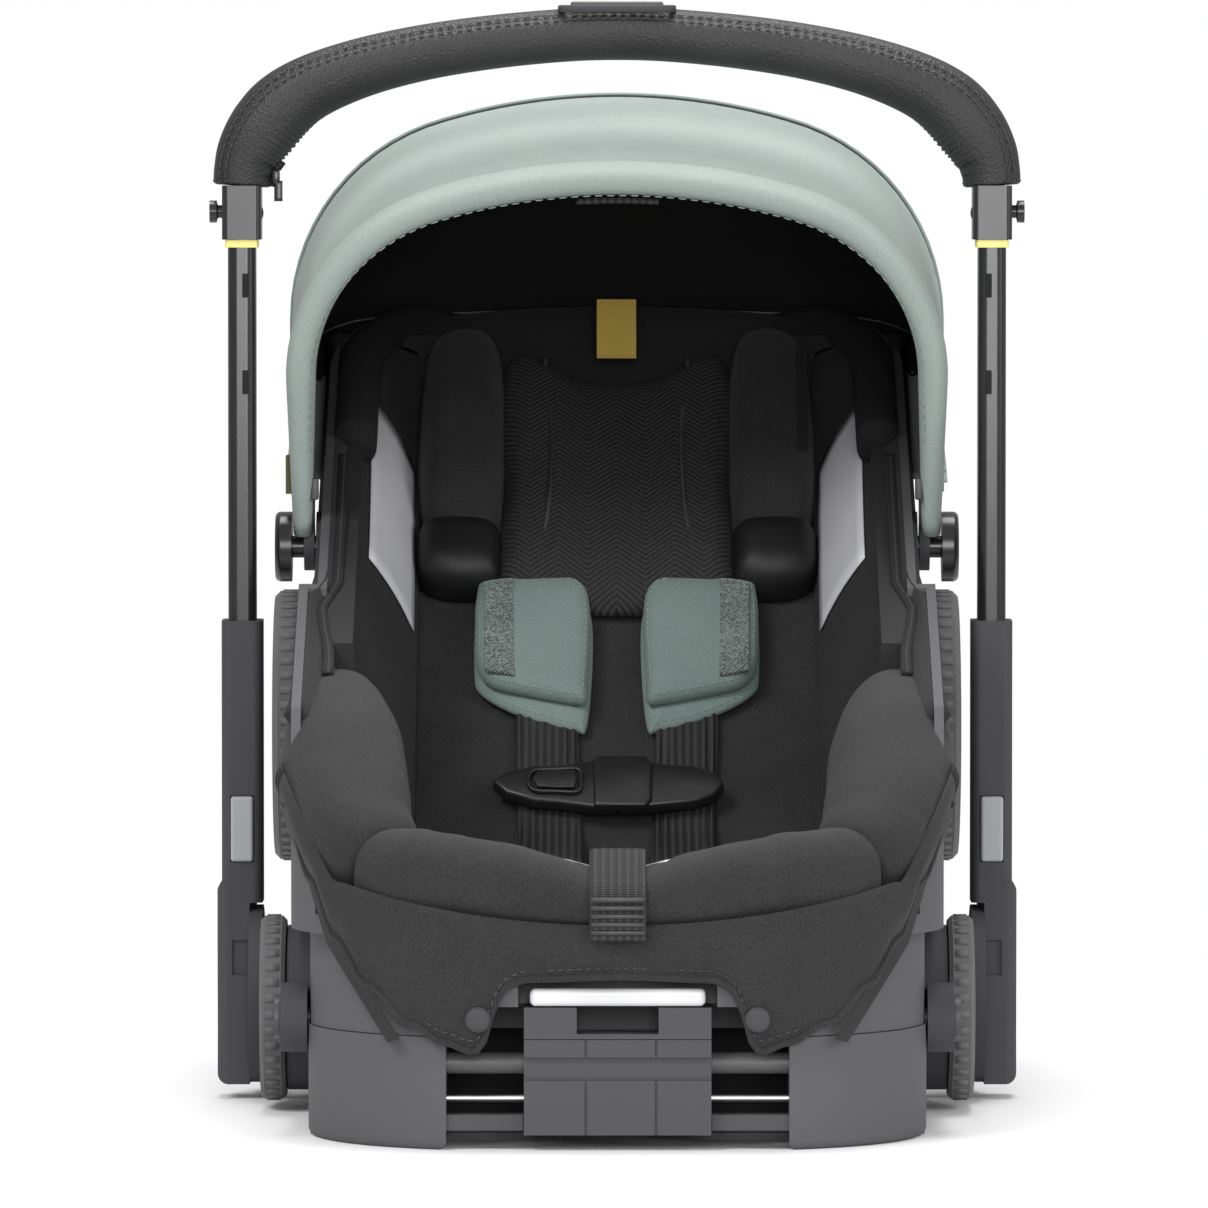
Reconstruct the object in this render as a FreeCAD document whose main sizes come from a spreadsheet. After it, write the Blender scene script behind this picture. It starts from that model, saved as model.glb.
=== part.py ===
import FreeCAD, Part
import math
import os
from FreeCAD import Placement, Rotation, Vector

# Infant car seat with a folding wheel frame, in its car-seat state.
# Frame: +Z up, +X to the right seen from the foot end, foot end towards -Y, head end towards +Y.
# The origin is on the floor, under the middle of the base. All sizes are in millimetres and degrees.

DOC = FreeCAD.newDocument("InfantSeat")
SHEET = DOC.addObject("Spreadsheet::Sheet", "Sizes")

SIZES = {
    # shell
    "shell_front": 300, "shell_back": 350, "shell_half": 170, "base_half": 160, "shell_wall": 5,
    "head_top": 415, "foot_rim": 118, "shoulder_top": 222, "plan_corner": 105, "front_gap_half": 88,
    "front_gap_top": 74, "front_gap_deep": 60, "foot_tall": 58, "cheek_end": -40,
    # seat cavity and cushions
    "back_angle": 45, "hip_rise": 92, "cavity_half": 140, "pad_thick": 16, "fit_gap": 0.4,
    "headrest_low": 228, "headrest_high": 428, "panel_half": 60, "wing_width": 38, "wing_thick": 34,
    # harness
    "webbing_wide": 34, "webbing_thick": 2, "strap_offset": 38, "pad_wide": 62, "pad_long": 84,
    "clip_half": 62, "clip_tall": 32, "clip_thick": 9,
    # canopy
    "canopy_pivot_back": 60, "canopy_pivot_up": 296, "front_bow_reach": 218, "front_bow_lean": 20,
    "mid_bow_reach": 246, "mid_bow_lean": 6, "bow_half": 176, "bow_deep": 8, "bow_thick": 12, "plate_reach": 60, "rear_arch_reach": 306,
    "rear_arch_lean": 66,
    "cover_thick": 2.5, "housing_dia": 38, "housing_wide": 14,
    # handle
    "hub_back": 20, "hub_up": 56, "post_half": 202, "post_wide": 15, "post_deep": 24,
    "leg_wide": 22, "leg_deep": 34, "leg_bottom": 8, "leg_top": 258, "leg_collar": 22,
    "ring_up": 459, "ring_tall": 4, "upper_collar_tall": 31, "grip_top": 588, "grip_thick": 29,
    "grip_end_thick": 37, "grip_drop": 21.4, "grip_corner": 50, "knob_dia": 12, "knob_long": 7,
    "release_wide": 12, "release_tall": 35, "release_up": 146, "release_proud": 2.5,
    # wheels
    "rear_wheel_dia": 150, "rear_wheel_wide": 19, "rear_axle_back": 225, "rear_axle_up": 190,
    "front_wheel_dia": 98, "front_wheel_wide": 13.6, "front_axle_back": -50, "front_axle_up": 54,
    "front_pivot_back": -190, "front_pivot_up": 60, "arm_inner": 161.5, "arm_wide": 9,
    "front_arm_wide": 14, "wheel_gap": 0.8, "axle_dia": 10, "hub_dia": 96,
    # bracket under the foot end
    "bracket_half": 48, "bracket_low": 8, "bracket_high": 57, "bracket_deep": 22,
    "cross_tube_dia": 11, "cross_tube_up": 44, "rod_dia": 4, "rod_up": 26, "lower_bar_tall": 8,
    "pull_half": 45, "pull_tall": 10,
}

for row, (alias, value) in enumerate(SIZES.items(), start=1):
    SHEET.set(f"A{row}", alias)
    SHEET.set(f"B{row}", str(value))
    SHEET.setAlias(f"B{row}", alias)
DOC.recompute()

NODES = []


def size(alias):
    """Value of one named size of the sheet."""
    return float(SHEET.get(alias))


def keep(thing, label):
    """Name an object as one node of the assembly."""
    thing.Label = label
    NODES.append(thing)
    return thing


def shaped(label, shape):
    """A node whose shape is computed from the sheet."""
    thing = DOC.addObject("Part::Feature", label)
    thing.Shape = shape
    return keep(thing, label)


def bind(thing, **links):
    """Tie properties of an object to expressions over the sheet."""
    for name, text in links.items():
        thing.setExpression(name.replace("__", "."), text)


def cell(text):
    """An expression in which each @name is a cell of the sheet."""
    return text.replace("@", "Sizes.")


def drum(label, radius, length, place, turn=Rotation()):
    """A cylinder object with bound radius and length."""
    thing = DOC.addObject("Part::Cylinder", label)
    bind(thing, Radius=cell(radius), Height=cell(length))
    thing.Placement = Placement(place, turn)
    return thing


def block(label, wide, deep, tall, place, turn=Rotation()):
    """A box object with bound sides."""
    thing = DOC.addObject("Part::Box", label)
    bind(thing, Length=cell(wide), Width=cell(deep), Height=cell(tall))
    thing.Placement = Placement(place, turn)
    return thing


def cut(label, base, tools):
    """Base minus tools, as chained Part::Cut objects."""
    for count, tool in enumerate(tools):
        step = DOC.addObject("Part::Cut", f"{label}_cut{count}")
        step.Base = base
        step.Tool = tool
        base = step
    return base


ALONG_X = Rotation(Vector(0, 1, 0), 90)


def polygon_yz(points, low_x, high_x):
    """Prism of an outline in the (Y, Z) plane between two X values."""
    corners = [Vector(low_x, y, z) for y, z in points]
    face = Part.Face(Part.makePolygon(corners + corners[:1]))
    return face.extrude(Vector(high_x - low_x, 0, 0))


def polygon_xz(points, low_y, high_y):
    """Prism of an outline in the (X, Z) plane between two Y values."""
    corners = [Vector(x, low_y, z) for x, z in points]
    face = Part.Face(Part.makePolygon(corners + corners[:1]))
    return face.extrude(Vector(0, high_y - low_y, 0))


def solid_box(low, high):
    """Box between two corners."""
    span = Vector(*high) - Vector(*low)
    return Part.makeBox(span.x, span.y, span.z, Vector(*low))


def rounded(shape, radius, chosen=None):
    """Fillet the chosen edges of a shape, or all of them."""
    edges = [edge for edge in shape.Edges if chosen is None or chosen(edge)]
    return shape.makeFillet(radius, edges)


def rounded_box(low, high, radius):
    """Box with all edges rounded, the radius limited by its thinnest side."""
    thin = min(b - a for a, b in zip(low, high))
    return rounded(solid_box(low, high), min(radius, 0.45 * thin))


def mirrored(shape):
    """The same shape on the other side of the seat."""
    return shape.mirror(Vector(0, 0, 0), Vector(1, 0, 0))


def both_sides(label, shape):
    """One node that holds a piece and its mirror image."""
    return shaped(label, Part.makeCompound([shape, mirrored(shape)]))


# ---------------------------------------------------------------- shell, foam, feet

FRONT = size("shell_front")
BACK = size("shell_back")
RIM_FRONT = -FRONT + 54
SHOULDER = -FRONT + 110
SKY = 700.0


def side_face(inset):
    """Side outline of the shell in the (Y, Z) plane, moved inward by an inset."""
    head = size("head_top")
    points = [(90, 0), (-FRONT, 0), (-FRONT, size("foot_rim")), (RIM_FRONT, size("foot_rim") + 6),
              (SHOULDER, size("shoulder_top")), (BACK - 40, head), (BACK, head - 15), (BACK, 0.72 * head)]
    corners = [Vector(0, y, z) for y, z in points]
    edges = [Part.LineSegment(a, b).toShape() for a, b in zip(corners, corners[1:])]
    belly = Vector(0, BACK - 72, 0.21 * head)
    edges.append(Part.Arc(corners[-1], belly, corners[0]).toShape())
    face = Part.Face(Part.Wire(edges))
    return face if inset == 0 else face.makeOffset2D(-inset, 2)


def plan_block(half, inset, low=-1.0, high=SKY):
    """Column with the plan outline of the shell: rounded corners at both ends."""
    box = solid_box((-half + inset, -FRONT + inset, low), (half - inset, BACK - inset, high))
    upright = [edge for edge in box.Edges if abs(edge.tangentAt(0).z) > 0.9]
    return box.makeFillet(size("plan_corner") - inset, upright)


def cheek_region(inset):
    """Where the shell is wide: the foot half, above the hubs and arms of the folded frame."""
    low = size("hub_up") + size("hub_dia") / 2 + 4 + inset
    return solid_box((-SKY, -FRONT - 1, low), (SKY, size("cheek_end") - inset, SKY))


def shell_mass(inset):
    """Full outer form of the seat, moved inward by an inset."""
    side = side_face(inset)
    narrow = size("base_half")
    wide = size("shell_half")
    slab = side.extrude(Vector(2 * SKY, 0, 0))
    slab.translate(Vector(-SKY, 0, 0))
    core = slab.common(plan_block(narrow, inset))
    cheeks = slab.common(plan_block(wide, inset)).common(cheek_region(inset))
    return core.fuse(cheeks).removeSplitter()


def front_gap(grow):
    """Open space between the feet, with an extra margin."""
    half = size("front_gap_half") + grow
    top = size("front_gap_top") + grow
    low_space = solid_box((-half, -FRONT - 20, -20), (half, -FRONT + size("front_gap_deep") + grow, top))
    pull_half = size("pull_half") + 6 + grow
    pull_space = solid_box((-pull_half, -FRONT - 20, 0), (pull_half, -FRONT + 24 + grow, top + size("pull_tall") + 4))
    return low_space.fuse(pull_space).removeSplitter()


def cavity(inset):
    """Hollow that the child sits in: flat seat, reclined back, open at the top."""
    slope = math.radians(size("back_angle"))
    hip = size("hip_rise") + inset
    half = size("cavity_half") - inset
    rise = size("head_top") + 20 - hip
    points = [(-FRONT + 38 + inset, hip), (-1.4 * inset, hip), (rise / math.tan(slope), hip + rise),
              (rise / math.tan(slope), SKY), (-FRONT + 38 + inset, SKY)]
    return polygon_yz(points, -half, half)


def rim_pocket():
    """Lowered inner rim that the side bolsters rest on."""
    drop = 24
    half = size("shell_half") - 14
    points = [(-FRONT - 1, size("foot_rim")), (RIM_FRONT, size("foot_rim")),
              (SHOULDER, size("shoulder_top") - drop), (SHOULDER + 90, size("shoulder_top") + 12),
              (SHOULDER + 90, SKY), (-FRONT - 1, SKY)]
    return polygon_yz(points, -half, half)


WALL = size("shell_wall")
GAP = size("fit_gap")
FOOT_DEEP = -FRONT + size("plan_corner") - 5
FOOT_TALL = size("foot_tall")
foot_space = solid_box((-SKY, -FRONT - 1, -1), (SKY, FOOT_DEEP + GAP, FOOT_TALL + GAP))

lining = shell_mass(WALL)
lifted = lining.copy()
lifted.translate(Vector(0, 0, 3 * WALL))
hollow = lining.fuse(lifted).cut(front_gap(WALL))
shell = shell_mass(0).cut(front_gap(0)).cut(hollow).cut(rim_pocket()).cut(foot_space)
shell_node = shaped("seat_shell", max(shell.Solids, key=lambda solid: solid.Volume))

foam_floor = solid_box((-SKY, -FRONT - 1, -1), (SKY, FOOT_DEEP + 2 * GAP, FOOT_TALL + 2 * GAP))
foam = shell_mass(WALL + GAP).cut(front_gap(WALL + GAP)).cut(cavity(0)).cut(foam_floor)
pocket = rim_pocket()
pocket.translate(Vector(0, 0, -GAP))
foam = foam.cut(pocket)
shaped("foam_liner", max(foam.Solids, key=lambda solid: solid.Volume))

foot_block = plan_block(size("base_half") + 1.0, 0, 0, FOOT_TALL)
slice_box = solid_box((size("front_gap_half"), -FRONT - 1, -1), (SKY, FOOT_DEEP, SKY))
foot = foot_block.common(slice_box)
ground = [edge for edge in foot.Edges if max(v.Z for v in edge.Vertexes) < 0.1]
both_sides("front_feet", foot.makeFillet(4, ground))

# ---------------------------------------------------------------- pieces between the feet

FACE_Y = -FRONT + 1
BRACKET_HALF = size("bracket_half")
GAP_HALF = size("front_gap_half")
ROD_Y = FACE_Y + size("bracket_deep") / 2 + 4


def between_feet(label, radius, up):
    """A round bar from foot to foot."""
    place = Vector(-GAP_HALF, ROD_Y, size(up))
    bar = drum(label, f"@{radius} / 2", "2 * @front_gap_half", place, ALONG_X)
    return bar


bracket = block("front_bracket_block", "2 * @bracket_half", "@bracket_deep", "@bracket_high - @bracket_low",
                Vector(-BRACKET_HALF, FACE_Y, size("bracket_low")))
bores = []
for name, diameter, up in (("tube", "cross_tube_dia", "cross_tube_up"), ("rod", "rod_dia", "rod_up")):
    place = Vector(-BRACKET_HALF - 5, ROD_Y, size(up))
    bores.append(drum(f"bracket_bore_{name}", f"@{diameter} / 2 + 0.05", "2 * @bracket_half + 10", place, ALONG_X))
for seam_x in (-17, 19):
    bores.append(block("bracket_seam", "1.4", "2", "100", Vector(seam_x, FACE_Y - 1, 0)))
bores.append(block("bracket_ledge", "2 * @bracket_half + 10", "5", "12", Vector(-BRACKET_HALF - 5, FACE_Y - 2.5, 36)))
keep(cut("front_bracket", bracket, bores), "front_bracket")

keep(between_feet("cross_tube", "cross_tube_dia", "cross_tube_up"), "cross_tube")
keep(between_feet("steel_rod", "rod_dia", "rod_up"), "steel_rod")
bar_low = block("lower_bar", "@front_gap_half - @bracket_half - 0.4", "12", "@lower_bar_tall",
                Vector(-GAP_HALF, FACE_Y + 6, 10))
bar_right = block("lower_bar_right", "@front_gap_half - @bracket_half - 0.4", "12", "@lower_bar_tall",
                  Vector(BRACKET_HALF + 0.4, FACE_Y + 6, 10))
shaped_low = DOC.addObject("Part::Compound", "lower_bars")
shaped_low.Links = [bar_low, bar_right]
keep(shaped_low, "lower_bars")

UPPER_LOW = size("bracket_high") + 0.4
UPPER_HIGH = size("front_gap_top") - 0.4
upper = solid_box((-BRACKET_HALF, FACE_Y, UPPER_LOW), (BRACKET_HALF, FACE_Y + 56, UPPER_HIGH))
slot = solid_box((-21, FACE_Y - 1, UPPER_LOW + 2.5), (21, FACE_Y + 30, UPPER_HIGH + 1))
shaped("bracket_head", upper.cut(slot))

# pull bar under the hem of the skirt: an arched grip on two guide rods that slide in the bracket head
PULL_LOW = size("front_gap_top") + GAP
pull = rounded_box((-size("pull_half"), FACE_Y - 2, PULL_LOW),
                   (size("pull_half"), FACE_Y + 8, PULL_LOW + size("pull_tall") - 1), 3)
shaped("pull_bar", pull)

# ---------------------------------------------------------------- cushions and covers

SLOPE = math.radians(size("back_angle"))
HIP = size("hip_rise")
PAD = size("pad_thick")
CAVITY = size("cavity_half")


def back_point(along, off):
    """Point (Y, Z) on the reclined back: distance up the back and distance out of it."""
    return (along * math.cos(SLOPE) - off * math.sin(SLOPE),
            HIP + along * math.sin(SLOPE) + off * math.cos(SLOPE))


def back_slab(low_x, high_x, low_u, high_u, low_off, high_off):
    """Slab that lies on the reclined back."""
    points = [back_point(low_u, low_off), back_point(high_u, low_off),
              back_point(high_u, high_off), back_point(low_u, high_off)]
    return polygon_yz(points, low_x, high_x)


def line_point(start, end, share, off):
    """Point beside the line from start to end, offset to its left."""
    run = Vector(end[0] - start[0], end[1] - start[1], 0)
    left = Vector(-run.y, run.x, 0).normalize()
    return (start[0] + share * run.x + off * left.x, start[1] + share * run.y + off * left.y)


seat_pad = solid_box((-CAVITY + GAP, -FRONT + 38 + GAP, HIP + GAP), (CAVITY - GAP, -2, HIP + GAP + PAD))
shaped("seat_pad", seat_pad.common(plan_block(size("base_half"), WALL + 3 * GAP)))
BACK_TOP = size("headrest_high")
back_pad = back_slab(-CAVITY + GAP, CAVITY - GAP, 24, BACK_TOP, GAP, GAP + PAD)
shaped("back_pad", back_pad.common(plan_block(size("base_half"), WALL + 3 * GAP)))
ON_PAD = 2 * GAP + PAD

# infant headrest: a centre panel between two raised wings
PANEL = size("panel_half")
LOW_U = size("headrest_low")
WING = size("wing_width")
panel = back_slab(-PANEL, PANEL, LOW_U, BACK_TOP, ON_PAD, ON_PAD + 20)
shaped("headrest_panel", panel)
wing = back_slab(PANEL + GAP, PANEL + GAP + WING, LOW_U + 22, BACK_TOP - 4, ON_PAD, ON_PAD + size("wing_thick"))
both_sides("headrest_wings", wing)

# side liners: wedges that widen towards the head end, above the back pad and below the rim
LINER_FRONT = -70
LINER_BACK = 300
liner_plan = [(CAVITY - GAP, LINER_FRONT), (CAVITY - GAP, LINER_BACK), (102, LINER_BACK), (134, LINER_FRONT)]
corners = [Vector(x, y, 0) for x, y in liner_plan]
liner_column = Part.Face(Part.makePolygon(corners + corners[:1])).extrude(Vector(0, 0, SKY))
rim_low = (SHOULDER, size("shoulder_top"))
rim_high = (BACK - 40, size("head_top"))
rim_start = line_point(rim_low, rim_high, 0, -5)
rim_slope = (rim_high[1] - rim_low[1]) / (rim_high[0] - rim_low[0])
back_start = back_point(0, ON_PAD)
back_slope = math.tan(SLOPE)
liner_top_y = ((rim_start[1] - rim_slope * rim_start[0] - back_start[1] + back_slope * back_start[0])
               / (back_slope - rim_slope))
liner_top = (liner_top_y, rim_start[1] + rim_slope * (liner_top_y - rim_start[0]))
liner_side = [(LINER_FRONT, HIP + ON_PAD), (-GAP, HIP + ON_PAD), back_point(0.6 * ON_PAD, ON_PAD),
              liner_top, line_point(rim_low, rim_high, 0.24, -5)]
liner = liner_column.common(polygon_yz(liner_side, 0, SKY))

# side labels: bare thin plates on the slanted faces of the liners
face_run = Vector(102 - 134, LINER_BACK - LINER_FRONT, 0)
label_low = Vector(134 - 0.5, LINER_FRONT, 0)
label_corners = [label_low, label_low + face_run, label_low + face_run + Vector(-0.8, 0, 0),
                 label_low + Vector(-0.8, 0, 0)]
label_column = Part.Face(Part.makePolygon(label_corners + label_corners[:1])).extrude(Vector(0, 0, SKY))
label_side = [(20, 238), (118, 250), (226, 360), (216, 368), (70, 305)]
label_plate = label_column.common(polygon_yz(label_side, 0, SKY))
both_sides("side_liners", liner)
both_sides("side_labels", label_plate)

# bolsters: one across the foot end, one over each side of the rim
BOLSTER_LOW = size("foot_rim") + 0.5
BOLSTER_HIGH = BOLSTER_LOW + 34
bolster_box = solid_box((-155.5, -FRONT - 1, BOLSTER_LOW), (155.5, RIM_FRONT - 1.5, BOLSTER_HIGH))
shaped("front_bolster", plan_block(size("shell_half"), 1).common(bolster_box))
low_line = ((RIM_FRONT, size("foot_rim")), (SHOULDER, size("shoulder_top") - 24))
high_line = (low_line[1], (SHOULDER + 90, size("shoulder_top") + 12))
side_points = [line_point(*low_line, 0.5, 0.6), line_point(*low_line, 1, 0.6), line_point(*high_line, 0.9, 0.6),
               line_point(*high_line, 0.9, 4), line_point(*high_line, 0.5, 18), line_point(*low_line, 1, 27),
               line_point(*low_line, 0.55, 27)]
side_bolster = polygon_yz(side_points, 112, 155.5)
both_sides("side_bolsters", side_bolster)

# skirt: fabric that wraps the foot end, with a raised hem over the pull bar, held by snaps
SKIRT = 3.6


def wrap(points, inner, outer, mirror=True):
    """Piece of a layer that wraps the plan outline, cut out by an (X, Z) outline seen from the front."""
    layer = plan_block(size("shell_half"), -outer).cut(plan_block(size("shell_half"), -inner))
    piece = layer.common(polygon_xz(points, -FRONT - 20, -40))
    return piece.fuse(mirrored(piece)) if mirror else piece


HEM_HIGH = PULL_LOW + size("pull_tall") + 5
skirt_half = [(0, HEM_HIGH), (50, HEM_HIGH), (58, HEM_HIGH - 6), (64, 60), (69, 50), (109, 58),
              (142, 108), (152, 140), (152, BOLSTER_HIGH), (0, BOLSTER_HIGH)]
skirt = wrap(skirt_half, 0.6, 0.6 + SKIRT).removeSplitter()
shaped("foot_skirt", skirt)
trim_half = [(111.5, 57), (144.5, 107), (154.5, 138), (154.5, 150), (160, 150), (160, 136), (150, 104), (118, 55)]
shaped("rim_trim", wrap(trim_half, 0.6, 3.2))
snaps = []
for side in (-1, 1):
    snap_place = Vector(side * 71.5, -FRONT - 5.7, 70)
    snap = Part.makeCylinder(6, 1.6, snap_place, Vector(0, 1, 0))
    snaps.append(snap)
shaped("skirt_snaps", Part.makeCompound([snap.cut(skirt) for snap in snaps]))

# ---------------------------------------------------------------- harness

WEB = size("webbing_thick")
STRAP = ON_PAD
OFFSET = size("strap_offset")
HALF_WEB = size("webbing_wide") / 2
BUCKLE_Y = -FRONT + 58
strap_path = [back_point(LOW_U - 6, STRAP), back_point(48, STRAP), (BUCKLE_Y + 32, 134),
              (BUCKLE_Y + 32, 134 + WEB), back_point(50, STRAP + WEB), back_point(LOW_U - 6, STRAP + WEB)]
CHEST = STRAP + WEB + 0.5
PAD_U = 140
straps = []
pads = []
tongues = []
for side in (-1, 1):
    middle = side * OFFSET
    straps.append(polygon_yz(strap_path, middle - HALF_WEB, middle + HALF_WEB))
    pad_low, pad_high = sorted((side * 14, side * (14 + size("pad_wide"))))
    pads.append(back_slab(pad_low, pad_high, PAD_U, PAD_U + size("pad_long"), CHEST, CHEST + 12))
    tongue_low, tongue_high = sorted((side * 16, side * (OFFSET + HALF_WEB - 2)))
    tongues.append(solid_box((tongue_low, BUCKLE_Y + 4, 131), (tongue_high, BUCKLE_Y + 31.5, 134.5)))
shaped("shoulder_straps", Part.makeCompound(straps))
shaped("shoulder_pads", Part.makeCompound(pads))
shaped("buckle_tongues", Part.makeCompound(tongues))

buckle = rounded_box((-15.5, BUCKLE_Y, 110), (15.5, BUCKLE_Y + 30, 142), 4)
button_well = solid_box((-10.4, BUCKLE_Y + 7.6, 137), (10.4, BUCKLE_Y + 22.4, 145))
shaped("buckle_body", buckle.cut(button_well))
shaped("buckle_button", rounded_box((-10, BUCKLE_Y + 8, 139.2), (10, BUCKLE_Y + 22, 144), 1.2))
FLAP_Y = -FRONT - 4.9
flap = [(BUCKLE_Y - 1.5, 141), (BUCKLE_Y - 1.5, BOLSTER_HIGH + 2.8), (FLAP_Y - 2, BOLSTER_HIGH + 2.8),
        (FLAP_Y - 2, 103), (FLAP_Y, 103), (FLAP_Y, BOLSTER_HIGH + 0.6),
        (BUCKLE_Y - 3.5, BOLSTER_HIGH + 0.6), (BUCKLE_Y - 3.5, 141)]
shaped("crotch_strap", polygon_yz(flap, -14.5, 14.5))

CLIP_U = 62
CLIP_HALF = size("clip_half")
CLIP_THICK = size("clip_thick")
clip_top = CLIP_U + size("clip_tall")
well = back_slab(-44.4, -17.6, CLIP_U + 9.6, clip_top - 9.6, CHEST + 3, CHEST + 20)
clip_left = back_slab(-CLIP_HALF, -0.2, CLIP_U, clip_top, CHEST, CHEST + CLIP_THICK).cut(well)
shaped("chest_clip_left", clip_left)
shaped("chest_clip_right", back_slab(0.2, CLIP_HALF, CLIP_U, clip_top, CHEST, CHEST + CLIP_THICK))
shaped("chest_clip_button", back_slab(-44, -18, CLIP_U + 10, clip_top - 10, CHEST + 5.2, CHEST + CLIP_THICK + 1.5))
shaped("pull_strap", back_slab(-11, 11, BACK_TOP - 38, BACK_TOP + 6, ON_PAD + 20.5, ON_PAD + 22.5))

# ---------------------------------------------------------------- canopy

PIVOT = Vector(0, size("canopy_pivot_back"), size("canopy_pivot_up"))
BOW_HALF = size("bow_half")
BOW_THICK = size("bow_thick")
BOW_DEEP = size("bow_deep")
PLATE = size("plate_reach")
SHELL_SIDE = size("base_half")


def arch_wire(half, top, big, small, foot, place=0.0, closed=True):
    """Arch in an upright plane: a shallow crown arc, two round shoulders and straight sides."""
    crown = top - big
    shoulder_x = half - small
    shoulder_z = crown + math.sqrt((big - small) ** 2 - shoulder_x ** 2)
    lean = math.atan2(shoulder_x, shoulder_z - crown)
    join = Vector(big * math.sin(lean), place, crown + big * math.cos(lean))
    turn = (math.pi / 2 + lean) / 2
    middle = Vector(shoulder_x + small * math.sin(turn), place, shoulder_z + small * math.cos(turn))
    side_top = Vector(half, place, shoulder_z)
    side_low = Vector(half, place, foot)

    def other(point):
        return Vector(-point.x, point.y, point.z)

    edges = [
        Part.LineSegment(other(side_low), other(side_top)).toShape(),
        Part.Arc(other(side_top), other(middle), other(join)).toShape(),
        Part.Arc(other(join), Vector(0, place, top), join).toShape(),
        Part.Arc(join, middle, side_top).toShape(),
        Part.LineSegment(side_top, side_low).toShape(),
    ]
    if closed:
        edges.append(Part.LineSegment(side_low, other(side_low)).toShape())
    return Part.Wire(edges)


def lean_about_pivot(shape, angle, shift=0.0):
    """Turn an arch built about X through the canopy pivot: positive angles lean to the head end."""
    shape = shape.copy()
    shape.translate(Vector(0, shift, 0))
    shape.rotate(Vector(0, 0, 0), Vector(1, 0, 0), -angle)
    shape.translate(PIVOT)
    return shape


BIG = 330
SMALL = 112


def bow_band(reach, low_x, high_x):
    """Arched bow with flat end plates and an eye for the pivot pin at each side."""
    outer = Part.Face(arch_wire(BOW_HALF, reach, BIG, SMALL, PLATE, -BOW_DEEP / 2))
    inner = Part.Face(arch_wire(BOW_HALF - BOW_THICK, reach - BOW_THICK, BIG - BOW_THICK, SMALL - BOW_THICK,
                                PLATE, -BOW_DEEP / 2))
    band = outer.cut(inner).extrude(Vector(0, BOW_DEEP, 0))
    solids = [band]
    for side in (-1, 1):
        start = min(side * low_x, side * high_x)
        plate = solid_box((start, -BOW_DEEP / 2, 0), (start + high_x - low_x, BOW_DEEP / 2, PLATE + 4))
        eye = Part.makeCylinder(13, high_x - low_x, Vector(start, 0, 0), Vector(1, 0, 0))
        solids += [plate, eye]
    whole = solids[0].fuse(solids[1:])
    bore = Part.makeCylinder(6.05, 4 * BOW_HALF, Vector(-2 * BOW_HALF, 0, 0), Vector(1, 0, 0))
    return whole.cut(bore).removeSplitter()


SPLIT = BOW_HALF - BOW_THICK / 2
FRONT_LEAN = -size("front_bow_lean")
MID_LEAN = size("mid_bow_lean")
front_bow = bow_band(size("front_bow_reach"), SPLIT + 0.3, BOW_HALF)
mid_bow = bow_band(size("mid_bow_reach"), BOW_HALF - BOW_THICK, SPLIT - 0.3)
shaped("canopy_front_bow", lean_about_pivot(front_bow, FRONT_LEAN))
shaped("canopy_mid_bow", lean_about_pivot(mid_bow, MID_LEAN))


def cover(start, end):
    """Canopy cloth between two arches, each given as (reach, lean, shift, foot, big radius, small radius)."""
    skins = []
    for inset in (0, size("cover_thick")):
        wires = []
        for reach, lean, shift, foot, big, small in (start, end):
            arch = arch_wire(BOW_HALF - inset, reach - inset, big - inset, small - inset, foot - 2 * inset)
            wires.append(lean_about_pivot(arch, lean, shift))
        skins.append(Part.makeLoft(wires, True, True))
    return skins[0].cut(skins[1])


HALF_BOW = BOW_DEEP / 2 + 0.5
COVER_FOOT = PLATE + 12
front_cover = cover((size("front_bow_reach"), FRONT_LEAN, HALF_BOW, COVER_FOOT, BIG, SMALL),
                    (size("mid_bow_reach"), MID_LEAN, -HALF_BOW, COVER_FOOT, BIG, SMALL))
rear_cover = cover((size("mid_bow_reach"), MID_LEAN, HALF_BOW, COVER_FOOT, BIG, SMALL),
                   (size("rear_arch_reach"), size("rear_arch_lean"), 0, 100, 900, 50))
for label, sheet in (("canopy_front_cover", front_cover), ("canopy_rear_cover", rear_cover)):
    shaped(label, max(sheet.Solids, key=lambda solid: solid.Volume))

housings = []
for side in (-1, 1):
    cap_start = side * (BOW_HALF + 0.4)
    pin = Part.makeCylinder(6, BOW_HALF + 1 - SHELL_SIDE, PIVOT + Vector(side * SHELL_SIDE, 0, 0), Vector(side, 0, 0))
    cap = Part.makeCylinder(size("housing_dia") / 2, 9, PIVOT + Vector(cap_start, 0, 0), Vector(side, 0, 0))
    rim = [edge for edge in cap.Edges if abs(edge.BoundBox.XMax + edge.BoundBox.XMin) / 2 > BOW_HALF + 8]
    base = Part.makeCylinder(size("housing_dia") / 2, 3, PIVOT + Vector(side * SHELL_SIDE, 0, 0), Vector(side, 0, 0))
    housings.append(cap.makeFillet(3, rim[:1]).fuse([pin, base]).removeSplitter())
shaped("canopy_housings", Part.makeCompound(housings))

# ---------------------------------------------------------------- handle

HUB = Vector(0, size("hub_back"), size("hub_up"))
POST = size("post_half")
POST_WIDE = size("post_wide")
POST_DEEP = size("post_deep")
LEG_WIDE = size("leg_wide")
LEG_IN = POST - LEG_WIDE / 2
BORE_LOW = 92.0


def origin_plane(body, role):
    """One of a body's own origin planes or axes."""
    return next(item for item in body.Origin.OriginFeatures if item.Role == role)


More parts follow.
